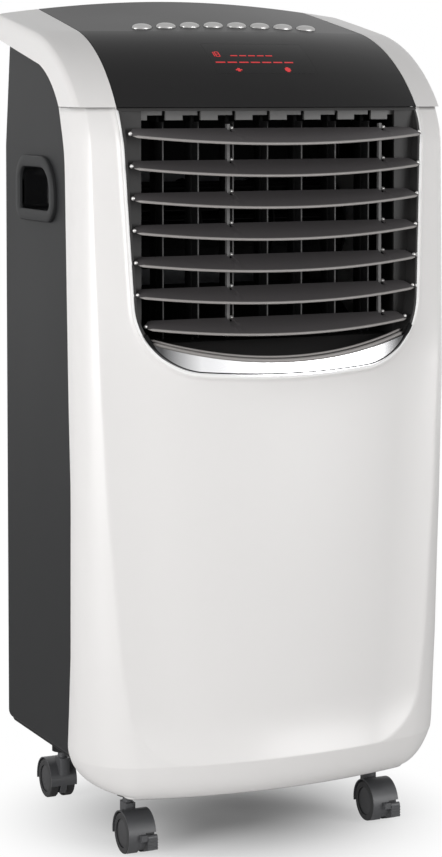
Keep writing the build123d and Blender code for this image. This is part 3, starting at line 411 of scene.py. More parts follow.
# %% heights and widths of the shell
# The front is turned about an upright axis behind the cabinet. The heights are those of the seam under
# the panel, the brow, the sill of the mouth, the toe and the lower edge. BODY_HALF is half the width of
# the black housing.
AXIS_Y = 378.5
FRONT_Y = -153.7
SEAM_Z, BROW_Z, MOUTH_Z, TOE_Z, EDGE_Z = 730.0, 691.0, 471.0, 97.0, 60.5
HALF_WIDTH, BODY_HALF = 200.0, 189.4
LEAN, BROW_TILT, BROW_CURL, TOE_TILT, TOE_CURL = 8.0, 1.4, 10.6, 12.41, 9.0
SHOULDER_Z, SHOULDER_LEAN = 711.25, 8.0 / 170.0
FOOT_Z, FOOT_R = 110.0, 46.0
TAPER, TAPER_HIGH, TAPER_LOW = 3.0, 480.0, 120.0


def soft_step(value, low, high):
    """Zero below low, one above high, and an S-curve between."""
    part = np.clip((value - low) / (high - low), 0.0, 1.0)
    return part * part * (3.0 - 2.0 * part)


def front_line(z):
    """The centre line's Y: it leans back evenly beside the mouth. The brow goes back with the way up and
    its square, and the toe with the way down and its fourth power."""
    lean = np.clip((z - MOUTH_Z) / (BROW_Z - MOUTH_Z), 0.0, 1.0)
    brow = np.clip((z - BROW_Z) / (SEAM_Z - BROW_Z), 0.0, None)
    toe = np.clip((TOE_Z - z) / (TOE_Z - EDGE_Z), 0.0, 1.0)
    return (FRONT_Y + LEAN * lean + BROW_TILT * brow + BROW_CURL * brow ** 2
            + TOE_TILT * toe + TOE_CURL * toe ** 4)


def flank(z):
    """Half the width: it leans in at the shoulder, tapers downwards and is round at the lower corner."""
    shoulder = SHOULDER_LEAN * np.clip(z - SHOULDER_Z, 0.0, None)
    taper = TAPER * soft_step(TAPER_HIGH - z, 0.0, TAPER_HIGH - TAPER_LOW)
    corner = FOOT_R - np.sqrt(FOOT_R ** 2 - np.clip(FOOT_Z - z, 0.0, FOOT_R) ** 2)
    return HALF_WIDTH - shoulder - taper - corner


print("flank at the seam", flank(SEAM_Z).round(1), "and at the lower edge", flank(EDGE_Z).round(1))

# %% crest and rear edge
CREST_Z = [64.0, 97.0, 142.0, 197.0, 335.0, 460.0, 600.0, 730.0]
CREST_HALF = [146.0, 150.0, 157.0, 165.0, 176.0, 183.0, 187.0, 189.5]
CREST_INSET = 8.0
REAR_FOOT_Y, REAR_LEAN, REAR_BEND_Z, REAR_SWEEP = -93.5, 23.0, 668.0, 0.0043


def crest(z):
    """Half-width of the crest where the front bends into the side: it draws in towards the floor."""
    return np.minimum(np.interp(z, CREST_Z, CREST_HALF), flank(z) - CREST_INSET)


def rear_line(z):
    """Where the shell ends on the side: nearly upright, with a sweep back at the shoulder as a square."""
    up = np.clip(z - REAR_BEND_Z, 0.0, None)
    return REAR_FOOT_Y + REAR_LEAN * z / REAR_BEND_Z + REAR_SWEEP * up ** 2


print("crest at the seam", crest(SEAM_Z).round(1), "and at the toe", crest(TOE_Z).round(1))

# %% [markdown]
# ### The dish and the skin
# The dish is a depth that is added to the skin. It grows from the crest inwards, and it starts gently
# under the lip of the mouth. The skin's own place across, s, runs from -1 to 1: the middle stretch lies
# on the bow, the next on the round corner, and the last on the side.

# %% dish
DISH_DEPTH, DISH_WALL, DISH_R = 7.0, 50.0, 52.0
COVE_X, COVE_Z, COVE_R, COVE_NEAR, COVE_FAR = 79.0, 545.0, 72.0, 8.0, 26.0
FADE_LOW, FADE_HIGH = 470.0, 560.0


def dish_depth(x, z):
    """Depth times three factors: a parabola of the distance inside the U-shaped crest, two exponentials
    of the distance from the mouth, and a soft step that ends the dish beside the mouth."""
    over_x = np.abs(x) - (crest(z) - DISH_R)
    over_z = TOE_Z + DISH_R - z
    outside = np.hypot(np.clip(over_x, 0.0, None), np.clip(over_z, 0.0, None))
    inside = DISH_R - outside - np.minimum(np.maximum(over_x, over_z), 0.0)
    wall = 1.0 - (1.0 - np.clip(inside / DISH_WALL, 0.0, 1.0)) ** 2
    beside = np.clip(np.abs(x) - COVE_X, 0.0, None)
    below = np.clip(COVE_Z - z, 0.0, None)
    away = np.clip(np.hypot(beside, below) - COVE_R, 0.0, None)
    cove = 1.0 - 0.5 * np.exp(-away / COVE_NEAR) - 0.5 * np.exp(-away / COVE_FAR)
    return DISH_DEPTH * wall * cove * (1.0 - soft_step(z, FADE_LOW, FADE_HIGH))


print("dish depth at a height of 250 mm", dish_depth(0.0, 250.0).round(2))

# %% skin of the shell
BOW_SHARE, CORNER_SHARE, DISH_SHARE = 0.62, 0.30, 0.1
SIDE_LEAST = 0.5
KINK_Z, KINK = [97.0, 200.0, 460.0, 730.0], [4.0, 9.0, 20.0, 30.0]


def shell_turn(z):
    """Bow radius, angles before and after the crest, corner radius and corner centre at a height."""
    bow = AXIS_Y - front_line(z)
    turn = np.arcsin(crest(z) / bow)
    start = turn + np.radians(np.interp(z, KINK_Z, KINK))
    radius = (flank(z) - crest(z)) / (1.0 - np.sin(start))
    return bow, turn, start, radius, AXIS_Y - bow * np.cos(turn) + radius * np.cos(start)


def shell_skin(s, z):
    """Outer skin: |s| runs along the bow up to BOW_SHARE, then round the corner, then along the side."""
    bow, turn, start, radius, middle_y = shell_turn(z)
    a = np.abs(s)
    along = np.clip(a / BOW_SHARE, 0.0, 1.0) * turn
    angle = start + (np.pi / 2 - start) * np.clip((a - BOW_SHARE) / CORNER_SHARE, 0.0, 1.0)
    on_corner = a > BOW_SHARE
    x = np.where(on_corner, flank(z) - radius + radius * np.sin(angle), bow * np.sin(along))
    y = np.where(on_corner, middle_y - radius * np.cos(angle), AXIS_Y - bow * np.cos(along))
    back = np.clip((a - BOW_SHARE - CORNER_SHARE) / (1.0 - BOW_SHARE - CORNER_SHARE), 0.0, 1.0)
    y = y + back * np.maximum(rear_line(z) - middle_y, SIDE_LEAST)
    y = y + dish_depth(x, z) * (1.0 - soft_step(a, BOW_SHARE, BOW_SHARE + DISH_SHARE))
    return np.stack([np.sign(s) * x, y, z + 0.0 * x], -1)


def front_share(edge):
    """The s of places on the bow, given in X and Z: their angle about the axis over the crest's angle."""
    bow, turn = shell_turn(edge[:, 1])[:2]
    return BOW_SHARE * np.arcsin(edge[:, 0] / bow) / turn


print("skin in the middle of the toe", shell_skin(0.0, TOE_Z).round(1).tolist())

# %% mouth line
MOUTH_STEPS = 46
SEAM_GAP = 0.1
SIDE_HALF, SIDE_LEAN, SIDE_FOOT_Z, SIDE_END_Z = 151.0, 0.04514, 482.0, 543.2
ROUND_X, ROUND_Z, ROUND_R, ROUND_FROM, ROUND_TO = 81.8, 546.4, 72.0, -2.58, -85.5
SILL_HALF, SILL_BOW = 87.5, 11.0


def mouth_line():
    """The mouth's edge in X and Z, from the left end of the seam down, along the sill and up again. The
    sides lean out by 4.5 in 100, the sill bows by 11 mm, and corners of 72 mm join them."""
    side_z = np.linspace(SEAM_Z - SEAM_GAP, SIDE_END_Z, MOUTH_STEPS)
    side = np.stack([SIDE_HALF + SIDE_LEAN * (side_z - SIDE_FOOT_Z), side_z], -1)
    angle = np.radians(np.linspace(ROUND_FROM, ROUND_TO, MOUTH_STEPS))
    corner = np.stack([ROUND_X + ROUND_R * np.cos(angle), ROUND_Z + ROUND_R * np.sin(angle)], -1)
    sill_x = np.linspace(SILL_HALF, -SILL_HALF, 2 * MOUTH_STEPS)
    sill = np.stack([sill_x, MOUTH_Z + SILL_BOW * (sill_x / SIDE_HALF) ** 2], -1)
    right = np.concatenate([side, corner[1:-1]])
    left = right[::-1] * np.array([-1.0, 1.0])
    return np.concatenate([right, sill, left])[::-1]


MOUTH = mouth_line()
print("mouth line of", len(MOUTH), "points")

# %% upper half of the shell
HALF_Z = 400.0
SIDE_Z = np.linspace(SEAM_Z - SEAM_GAP, HALF_Z, MOUTH_STEPS)
ACROSS = np.linspace(-1.0, 1.0, len(MOUTH) - 2 * MOUTH_STEPS + 2)
BACK = np.array([0.0, 1.0, 0.0])
ROW_EVEN = 0.3
LIP_RISE, LIP_MIDDLE, LIP_SPREAD = 1.7, 2.6, 2.3
LIP_RETURN = np.array([14.0, 7.0, 2.0, 0.5])


def upper_skin():
    """Rows run from the mouth, where they lie closest, out to the shell's sides and a level line below.
    The lip is a bell curve of the distance from the mouth, and four rows behind it turn inwards."""
    inner = np.stack([front_share(MOUTH), MOUTH[:, 1]], -1)
    outer = np.concatenate([
        np.stack([np.full(MOUTH_STEPS, -1.0), SIDE_Z], -1)[:-1],
        np.stack([ACROSS, np.full(len(ACROSS), HALF_Z)], -1),
        np.stack([np.full(MOUTH_STEPS, 1.0), SIDE_Z[::-1]], -1)[1:]])
    row = np.linspace(0.0, 1.0, 64)[:, None, None]
    share = ROW_EVEN * row + (1.0 - ROW_EVEN) * row ** 2
    spread = inner * (1.0 - share) + outer * share
    skin = shell_skin(spread[..., 0], spread[..., 1])
    reach = np.linalg.norm(skin - skin[:1], axis=-1)
    skin[..., 1] -= LIP_RISE * np.exp(-((reach - LIP_MIDDLE) / LIP_SPREAD) ** 2)
    return np.concatenate([skin[:1] + LIP_RETURN[:, None, None] * BACK, skin])


upper = upper_skin()
print("upper half of", upper.shape[0], "rows and", upper.shape[1], "columns")

# %% lower half, side folds and the piece
FINE_Z = 100.0
DOWN = np.concatenate([np.linspace(HALF_Z, FINE_Z + 2.0, 120), np.linspace(FINE_Z, EDGE_Z, 40)])
FOLD_LEAST = 2.0
SHELL_WALL = 0.0026


def lower_skin():
    """Level rows of the skin from half height down to the lower edge, closer together at the toe."""
    return shell_skin(*np.meshgrid(ACROSS, DOWN))


def side_folds():
    """Two rows along each side edge: the skin's rim, and the same line moved in to the black housing."""
    s, z = np.meshgrid([-1.0, 1.0], np.concatenate([SIDE_Z, DOWN[1:]]), indexing="ij")
    rim = shell_skin(s, z)
    fold = rim.copy()
    fold[..., 0] -= s * np.maximum(np.abs(rim[..., 0]) - BODY_HALF, FOLD_LEAST)
    return np.stack([rim, fold], 1)


shell = new_piece("front_shell", [upper, lower_skin(), *side_folds()], "white_shell",
                  stands_for=["front_panel"], around=False, angle=50.0)
wall = shell.modifiers.new("wall", "SOLIDIFY")
wall.thickness = SHELL_WALL
wall.offset = -1.0
print("front shell wall", SHELL_WALL)

# %% [markdown]
# ## The edge of the mouth
# A thin lip runs round the mouth, painted a brighter white than the shell as a painted highlight. Two
# dark ribs lie over the bright crescent, and a hairline joint parts the crescent from the shell. A curve
# object with a bevel would make such cords too. Here a circle is carried along a path with numpy, so
# that its radius may change on the way and its ends close in a point.

# %% mouth lip
LIP_R, LIP_SINK = 2.3, 0.9


def tube(path, radius):
    """A round tube: at each place of the path a circle lies across it. The ends close in a point."""
    ahead = np.gradient(path, axis=0)
    ahead /= np.linalg.norm(ahead, axis=1, keepdims=True)
    side = np.cross(ahead, BACK)
    side /= np.linalg.norm(side, axis=1, keepdims=True)
    over = np.cross(side, ahead)
    angle = full_turn(12)[:, None]
    size = np.zeros((len(path), 1, 1)) + np.reshape(radius, (-1, 1, 1))
    size[[0, -1]] = 0.0
    return path[:, None] + size * (side[:, None] * np.cos(angle) + over[:, None] * np.sin(angle))


lip_path = shell_skin(front_share(MOUTH), MOUTH[:, 1]) + LIP_SINK * BACK
# The lip's brighter white is a painted highlight.
new_piece("mouth_lip", [tube(lip_path, LIP_R)], "white_shell", look="lip_highlight_white")

# %% mouth ledge
TRIM_HALF, TRIM_Z, TRIM_R, TRIM_BOW_R, TRIM_LEAN = 137.0, 484.0, 469.3, 533.0, 0.036
RIBS = [dict(behind=5.0, above=1.6, radius=2.0), dict(behind=8.5, above=4.8, radius=1.3)]

trim_x = np.linspace(-TRIM_HALF, TRIM_HALF, 61)
trim_z = TRIM_Z + TRIM_R - np.sqrt(TRIM_R ** 2 - trim_x ** 2)
trim_y = AXIS_Y - np.sqrt(TRIM_BOW_R ** 2 - trim_x ** 2) + TRIM_LEAN * (trim_z - MOUTH_Z)
ribs = [tube(np.stack([trim_x, trim_y + rib["behind"], trim_z + rib["above"]], -1), rib["radius"])
        for rib in RIBS]
new_piece("mouth_ledge", ribs, "dark_plastic", look="edge_grey")

# %% trim joint
JOINT_TOP_Z, JOINT_INSET, JOINT_PROUD = 516.0, 2.7, 1.15
JOINT_R, TIP_SWELL, TIP_FROM, TIP_TO = 0.6, 1.7, 131.0, 141.0


def trim_joint():
    """The mouth's lower edge drawn inwards, as a path just in front of the skin with thicker tips."""
    edge = MOUTH[MOUTH[:, 1] < JOINT_TOP_Z]
    width = np.abs(edge[:, 0])
    round_part = np.clip((width - ROUND_X) / width.max(), 0.0, None)
    inward = np.stack([-edge[:, 0] * round_part, ROUND_Z - edge[:, 1]], -1)
    edge = edge + JOINT_INSET * inward / np.linalg.norm(inward, axis=1, keepdims=True)
    path = shell_skin(front_share(edge), edge[:, 1]) - JOINT_PROUD * BACK
    return tube(path, JOINT_R + TIP_SWELL * soft_step(np.abs(path[:, 0]), TIP_FROM, TIP_TO))


new_piece("trim_joint", [trim_joint()], "dark_plastic", look="shade_and_joint_black")

# %% [markdown]
# ## The white rails
# Two rails run from the seam over the brow and back along the top. Each has a flat top that belongs to
# the same turned surface as the panel, a soft crease, and a side that drops to the black housing. A
# sweep of one section would twist here, so the section is drawn between three lines instead: the
# panel's edge, the crease and the line where the housing begins.

# %% top surface
SLOPE = np.arctan2(35.0, 158.0)
SLOPE_WAY = np.array([np.cos(SLOPE), np.sin(SLOPE)])
START, BEND = np.array([-135.5, SEAM_Z]), np.array([-29.5, 805.0])
CHORD, ARC_R, ARC_SAG = np.hypot(*(BEND - START)), 183.06, 11.9
REAR_Y = 128.5


def top_line(u):
    """Side line of the top in Y and Z: an arc from the seam to the bend, then a straight slope."""
    along = (BEND - START) / CHORD
    out = np.array([-along[1], along[0]])
    rise = np.sqrt(np.clip(ARC_R ** 2 - (u - CHORD / 2) ** 2, 0.0, None)) - (ARC_R - ARC_SAG)
    arc = START + u[..., None] * along + rise[..., None] * out
    return np.where((u <= CHORD)[..., None], arc, BEND + (u - CHORD)[..., None] * SLOPE_WAY)


def top_skin(x, u):
    """The top line turned about the upright axis behind the cabinet."""
    line = top_line(u)
    reach = AXIS_Y - line[..., 0]
    return np.stack([x, AXIS_Y - np.sqrt(reach ** 2 - x ** 2), line[..., 1]], -1)


def rear_reach(x):
    """The place along the top line that the back plane cuts at a distance x from the middle."""
    return CHORD + (AXIS_Y - np.hypot(AXIS_Y - REAR_Y, x) - BEND[0]) / SLOPE_WAY[0]


print("top line to the back", rear_reach(0.0).round(1))

# %% lines of a rail
PANEL_HALF, PANEL_TAPER, PANEL_BEND_Y = 162.4, 0.0382, -113.5
WAY_HALF, WAY_REAR_HALF = 157.0, 155.0
CREASE_HALF, CREASE_SPREAD = 190.0, 4.0
RAIL_HALF, RAIL_DRAW = 199.2, 0.8
SWEEP_Y, SWEEP_Z, SWEEP_R, SWEEP_FROM, SWEEP_TO = 37.1, 670.09, 107.62, 145.79, 108.75
LEVEL_Y, LEVEL_Z, LEVEL_RISE = 2.5, 772.0, 0.2211


def rail_low(t):
    """Where the housing begins under the rail: an arc up from the seam and a straight slope to the
    back, at even shares of their length."""
    turn = np.radians(np.linspace(SWEEP_FROM, SWEEP_TO, 46))
    sweep = np.stack([SWEEP_Y + SWEEP_R * np.cos(turn), SWEEP_Z + SWEEP_R * np.sin(turn)], -1)
    level = np.linspace(LEVEL_Y, REAR_Y, 45)[1:]
    line = np.concatenate([sweep, np.stack([level, LEVEL_Z + LEVEL_RISE * (level - LEVEL_Y)], -1)])
    length = np.concatenate([[0.0], np.cumsum(np.hypot(*np.diff(line, axis=0).T))])
    y, z = (np.interp(t * length[-1], length, column) for column in line.T)
    return np.stack([RAIL_HALF - RAIL_DRAW * t, y, z], -1)


def rail_lines(t):
    """The panel's edge, the crease and the low line at shares t of the way back; the panel narrows
    behind the brow."""
    crease_x = CREASE_HALF + CREASE_SPREAD * t
    way_y = top_skin(WAY_HALF + 0.0 * t, t * rear_reach(WAY_REAR_HALF))[:, 1]
    edge_x = PANEL_HALF - PANEL_TAPER * np.clip(way_y - PANEL_BEND_Y, 0.0, None)
    panel_edge = top_skin(edge_x, t * rear_reach(edge_x))
    crease_line = top_skin(crease_x, t * rear_reach(crease_x))
    return panel_edge, crease_line, rail_low(t)


print("the low line ends at", rail_low(np.ones(1))[0].round(1).tolist())

# %% rails
TUCK, SWELL, DROP_POWER = 5.0, 0.36, 1.6


def rail(side):
    """Rows run back along the rail, columns across it: a tuck under the panel's edge, the flat top, a
    bend of second degree about the crease, a side that swells as a quarter circle, and a ledge."""
    t = np.linspace(0.0, 1.0, 90)
    panel_edge, crease_line, low = rail_lines(t)
    c = np.linspace(0.0, 1.0, 14)[None, :, None]
    top_x = (panel_edge[:, None] * (1.0 - c) + crease_line[:, None] * c)[..., 0]
    flat = top_skin(top_x, t[:, None] * rear_reach(top_x))
    d = c ** DROP_POWER
    down = crease_line[:, None] * (1.0 - d) + low[:, None] * d
    swell = np.sqrt(1.0 - (1.0 - np.clip(d / SWELL, 0.0, 1.0)) ** 2)[..., 0]
    down[..., 0] = crease_line[:, None, 0] * (1.0 - swell) + low[:, None, 0] * swell
    ease = np.linspace(0.0, 1.0, 9)[None, 1:-1, None]
    bend = (flat[:, -3:-2] * (1.0 - ease) ** 2 + 2.0 * crease_line[:, None] * ease * (1.0 - ease)
            + down[:, 2:3] * ease ** 2)
    tuck = panel_edge[:, None] - np.array([0.0, 0.0, TUCK])
    ledge = low[:, None] * np.array([0.0, 1.0, 1.0]) + np.array([BODY_HALF, 0.0, 0.0])
    grid = np.concatenate([tuck, flat[:, :-2], bend, down[:, 2:], ledge], 1)
    cap = grid[-1:].copy()
    cap[..., 2] = low[-1, 2]
    return np.concatenate([grid, cap]) * np.array([side, 1.0, 1.0])


new_piece("rail_left", [rail(-1.0)], "white_shell", stands_for=["top_frame"], around=False, angle=35.0)
new_piece("rail_right", [rail(1.0)], "white_shell", around=False, angle=35.0)

# %% [markdown]
# ## Push buttons
# Eight oval buttons stand on the slope. The real ones are plated domes with a soft shoulder. A squashed
# ball would look too round, so each is a flattened dome over an ellipse with a straight skirt that runs
# down into its hole. It rides on its own body, so a press moves it.

# %% buttons
BUTTON_PITCH, BUTTON_Y = 26.0, -2.0
BUTTON_HALF, BUTTON_DEEP, BUTTON_RISE, FLATNESS = 10.6, 6.9, 4.1, 2.4
SKIRT_HEIGHTS = (-1.0, -8.0)


def button_dome(x):
    """Rings from the top outwards: the height falls as a flattened quarter circle, then the skirt drops."""
    ring = np.concatenate([np.linspace(0.02, 1.0, 16), np.ones(len(SKIRT_HEIGHTS))])[:, None]
    up = BUTTON_RISE * np.sqrt(np.clip(1.0 - ring ** FLATNESS, 0.0, None))
    up[-len(SKIRT_HEIGHTS):, 0] = SKIRT_HEIGHTS
    angle = full_turn(48)
    across, along = BUTTON_HALF * ring * np.cos(angle), BUTTON_DEEP * ring * np.sin(angle)
    way_y = AXIS_Y - np.hypot(x, AXIS_Y - BUTTON_Y)
    foot_z = BEND[1] + (way_y - BEND[0]) * np.tan(SLOPE)
    return np.stack([x + across, BUTTON_Y + along * np.cos(SLOPE) - up * np.sin(SLOPE),
                     foot_z + along * np.sin(SLOPE) + up * np.cos(SLOPE)], -1)


for number in range(1, 9):
    dome = button_dome((number - 4.5) * BUTTON_PITCH)
    button = f"button_{number}"
    new_piece(f"button_dome_{number}", [dome], "chrome", button, [button],
              look="button_silver", lids=[0, -1])

# %% [markdown]
# ## Display
# The window looks as dark as the panel until it is lit. Small red marks glow in it: two digits, two
# rows of dashes and two signs. A picture could show them, but plates keep their edges sharp from near
# by. Each mark is a rectangle, given by left, right, low and high, that is laid on the turned surface
# as a thin box.

# %% display marks
DIGIT_BARS = np.array([[0.4, 4.0, 8.2, 9.0], [3.6, 4.4, 4.7, 8.4], [3.6, 4.4, 0.6, 4.3],
                       [0.4, 4.0, 0.0, 0.8], [0.0, 0.8, 0.6, 4.3], [0.0, 0.8, 4.7, 8.4],
                       [0.4, 4.0, 4.1, 4.9]])
LIT = {1: [1, 2], 8: [0, 1, 2, 3, 4, 5, 6]}
SIGN_BARS = np.array([[-32.0, -29.4, 44.8, 49.4], [-34.0, -27.4, 46.4, 47.8],
                      [19.2, 25.0, 45.6, 49.6], [20.6, 23.6, 44.2, 51.0]])
PANEL_OUT = np.array([0.0, -0.55, 0.83])
MARK_PROUD, MARK_SUNK = 0.25, 0.3


def digit(x, u, value):
    """The lit bars of one digit, 4.4 mm wide and 9 mm tall, with its lower left corner at x and u."""
    return DIGIT_BARS[LIT[value]] + np.array([x, x, u, u])


def dash_row(first, pitch, length, low, high, count):
    """Dashes in a row: each starts one pitch after the last."""
    left = first + pitch * np.arange(count)
    return np.stack([left, left + length, 0.0 * left + low, 0.0 * left + high], -1)


marks = np.concatenate([
    digit(x=-52.0, u=68.2, value=1),
    digit(x=-46.6, u=68.2, value=8),
    dash_row(first=-31.6, pitch=9.4, length=7.2, low=69.4, high=70.8, count=5),
    dash_row(first=-50.7, pitch=12.2, length=9.7, low=58.0, high=59.5, count=7),
    SIGN_BARS])
plate = top_skin(marks[:, [0, 1, 1, 0]], marks[:, [2, 2, 3, 3]])
plates = np.stack([plate + MARK_PROUD * PANEL_OUT, plate - MARK_SUNK * PANEL_OUT], 1)
new_piece("display_marks", plates, "display_glass", look="led_red", lids=[0, -1])

# %% [markdown]
# ## Louvres
# Seven bowed blades tilt on end pins. The front edge of each is a thin bead, painted a lighter grey
# than the blade as a painted highlight where it catches the light, and the pins and the clips of the tie
# rods shine. A bevel could round a solid blade, but a surface can also have the slight camber and the
# thin rear edge of a moulded one. Their pins' places come from the joints of the frame.

# %% places on a louvre
PLACES = {joint["name"]: 1000.0 * np.array(joint["pos_m"]) for joint in frame["joints"] if "pos_m" in joint}
# Each louvre is a little shorter than the one above it, and the last lies between round corners.
LONGEST_HALF, LOUVRE_DRAW, LAST_HALF = 155.2, 1.38, 139.84
LOUVRE_HALF = np.append(LONGEST_HALF - LOUVRE_DRAW * np.arange(6), LAST_HALF)
LOUVRE_BOW, NOSE_AHEAD, NOSE_R = 21.5, 26.5, 1.35
TILT = np.radians(22.0)
TIE_X = np.array([-49.0, 117.0])
SLOT_EDGES = np.array([-2.5, -2.4, 2.4, 2.5])


def on_louvre(number, x, ahead, lift):
    """A point of a louvre from its place along, ahead of the pins and above the tilted blade."""
    pin = PLACES[f"louvre_{number}_tilt"]
    return np.stack([x, pin[1] - ahead * np.cos(TILT) - lift * np.sin(TILT),
                     pin[2] - ahead * np.sin(TILT) + lift * np.cos(TILT)], -1)


def louvre_edge(half):
    """Places along a louvre, with more at the slots of the ties, and how far ahead its bowed edge lies."""
    x = np.sort(np.concatenate([np.linspace(-half, half, 61), np.add.outer(TIE_X, SLOT_EDGES).ravel()]))
    bend_r = (half ** 2 + LOUVRE_BOW ** 2) / (2.0 * LOUVRE_BOW)
    return x, NOSE_AHEAD - bend_r + np.sqrt(bend_r ** 2 - x ** 2)


print("louvre half lengths", LOUVRE_HALF.round(2).tolist())

# %% blades and pins
TAIL_END, TAIL, TAIL_EASE, TAIL_IN_SLOT = 2.0, 11.0, 6.0, 2.5
THICK, THINNING, END_EASE, CAMBER = 1.2, 0.35, 0.5, 0.5
PIN_OUT, PIN_LIFT, PIN_SIZE = 0.3, 0.2, [2.0, 2.0, 2.0]
CLIP_ASIDE, CLIP_BEHIND, CLIP_LIFT, CLIP_SIZE = 3.4, 12.0, 0.6, [1.7, 3.4, 1.9]


def louvre_blade(number, half):
    """Rows run along the louvre, columns from the nose back over its top and forward again underneath.
    The middle of the blade is cambered as a sine, and the thickness falls evenly to the rear."""
    x, ahead = louvre_edge(half)
    to_end = half - np.abs(x)
    tail = np.clip(TAIL_END + (TAIL - TAIL_END) * to_end / TAIL_EASE, TAIL_END, TAIL)
    in_slot = np.min(np.abs(np.subtract.outer(x, TIE_X)), axis=1) < SLOT_EDGES[2:].mean()
    tail = np.where(in_slot, np.minimum(tail, TAIL_IN_SLOT), tail)
    share = np.linspace(0.0, 1.0, 13)
    reach = ahead[:, None] - (ahead + tail)[:, None] * share
    thick = (THICK - THINNING * share) * np.clip(to_end / END_EASE, 0.0, 1.0)[:, None]
    camber = CAMBER * np.sin(np.pi * share)
    lift = np.concatenate([camber + thick, (camber - thick)[:, ::-1]], 1)
    return on_louvre(number, x[:, None] + 0.0 * lift, np.concatenate([reach, reach[:, ::-1]], 1), lift)


def bead(centre, size):
    """A small rounded stud: a ball of rings stretched to a size in X, Y and Z."""
    lat = np.linspace(-np.pi / 2, np.pi / 2, 11)[:, None]
    lon = full_turn(16)
    ball = np.stack([np.cos(lat) * np.cos(lon), np.cos(lat) * np.sin(lon), np.sin(lat) + 0.0 * lon], -1)
    return centre + ball * np.array(size)


def louvre_pins(number, half):
    """A stud at each end pin and one at each clip of the tie rods."""
    ends = [bead(on_louvre(number, x, 0.0, PIN_LIFT), PIN_SIZE) for x in (-half - PIN_OUT, half + PIN_OUT)]
    clips = [bead(on_louvre(number, x, -CLIP_BEHIND, CLIP_LIFT), CLIP_SIZE) for x in TIE_X + CLIP_ASIDE]
    return ends + clips


for number, half in enumerate(LOUVRE_HALF, 1):
    louvre = f"louvre_{number}"
    nose = tube(on_louvre(number, *louvre_edge(half), 0.0), NOSE_R)
    new_piece(f"louvre_blade_{number}", [louvre_blade(number, half)], "louvre_plastic", louvre, [louvre])
    # The nose's lighter grey is a painted highlight on the blade's front edge.
    new_piece(f"louvre_nose_{number}", [nose], "louvre_plastic", louvre, look="edge_grey")
    pins = louvre_pins(number, half)
    new_piece(f"louvre_pins_{number}", pins, "louvre_plastic", louvre, look="clip_metal")

# %% [markdown]
# ## Vane edges and the rail above them
# Seven upright vanes stand in the dark behind the louvres. Their bodies are painted near black as
# painted shade, and only their front edges catch light, so each gets a thin bead in a lighter grey that
# turns with it. Above them a stepped strip hangs from the ceiling of the duct: in every bay between two
# vanes its left half hangs lower than its right half. Booleans could cut the steps, but a row of thin
# boxes gives the same edges.

# %% vane edges
VANE_EDGE_AHEAD, VANE_EDGE_R = 15.1, 0.7
VANE_EDGE_LOW, VANE_EDGE_HIGH = 506.5, 715.5

for number in range(1, 8):
    x, y = PLACES[f"vane_{number}_swing"][:2]
    z = np.linspace(VANE_EDGE_LOW, VANE_EDGE_HIGH, 25)
    edge = tube(np.stack([0.0 * z + x, 0.0 * z + y - VANE_EDGE_AHEAD, z], -1), VANE_EDGE_R)
    # The vane bodies are painted near black as shade, and the bead keeps a lighter grey, so only the edge reads as
    # lit.
    new_piece(f"vane_edge_{number}", [edge], "louvre_plastic", f"vane_{number}", look="vane_grey")

# %% vane rail
VANE_PITCH = 37.2
BAY_GAP, BAY_STEP = 1.8, 20.0
STRIP_Y, STRIP_THICK = -104.5, 3.0
STRIP_TOP, STRIP_DEEP, STRIP_SHALLOW = 726.5, 717.6, 722.4


def strip_steps():
    """Two boxes in each bay, one deep and one shallow: a ring of four corners in front and one behind."""
    bay = VANE_PITCH * np.arange(-4.0, 4.0)
    left = np.concatenate([bay + BAY_GAP, bay + BAY_STEP])
    right = np.concatenate([bay + BAY_STEP, bay + VANE_PITCH - BAY_GAP])
    low = np.repeat([STRIP_DEEP, STRIP_SHALLOW], len(bay))
    high = np.full(len(low), STRIP_TOP)
    front = np.stack([np.stack([left, right, right, left], -1), np.full((len(low), 4), STRIP_Y),
                      np.stack([low, low, high, high], -1)], -1)
    return np.stack([front, front + STRIP_THICK * BACK], 1)


new_piece("vane_rail", strip_steps(), "dark_plastic", look="rail_grey", lids=[0, -1])

# %% [markdown]
# ## Hand holds
# Each side has a deep cup with a raised frame round it. The opening is a small archway: its upper
# corners are round, its lower ones nearly square. A bevel would round all corners alike. An outline
# with four corner radii can be drawn outwards or inwards by a distance, so frame and cup are rings of
# that one outline at several distances and depths.

# %% outline of a hand hold
HOLD_FRONT, HOLD_REAR, HOLD_LOW, HOLD_HIGH = -8.0, 77.0, 627.5, 670.0
CORNER_R = np.array([14.0, 26.0, 8.0, 5.0])
TO_REAR, TO_TOP = np.array([1.0, -1.0, -1.0, 1.0]), np.array([1.0, 1.0, -1.0, -1.0])
CORNER_Y = np.array([HOLD_REAR, HOLD_FRONT, HOLD_FRONT, HOLD_REAR]) - CORNER_R * TO_REAR
CORNER_Z = np.array([HOLD_HIGH, HOLD_HIGH, HOLD_LOW, HOLD_LOW]) - CORNER_R * TO_TOP
LEAST_R = 0.4


def arch_ring(grow):
    """The opening drawn outwards by grow: four arcs about the corner centres, each radius longer by
    grow. Where a radius is used up, the centre slides inwards instead."""
    angle = np.radians(np.add.outer([0.0, 90.0, 180.0, 270.0], np.linspace(0.0, 90.0, 12)))
    reach = np.clip(CORNER_R + grow, LEAST_R, None)[:, None]
    slide = np.clip(-(CORNER_R + grow), 0.0, None)
    y = (CORNER_Y - slide * TO_REAR)[:, None] + reach * np.cos(angle)
    z = (CORNER_Z - slide * TO_TOP)[:, None] + reach * np.sin(angle)
    return np.stack([y.ravel(), z.ravel()], -1)


def arch_rings(side, grows, outs):
    """Rings of the outline, each drawn outwards by its own distance and set at its own distance from
    the middle."""
    rings = np.stack([arch_ring(grow) for grow in grows])
    across = side * np.array(outs)[:, None, None] + np.zeros(rings.shape[:2] + (1,))
    return np.concatenate([across, rings], -1)


print("hand hold ring of", len(arch_ring(0.0)), "points")

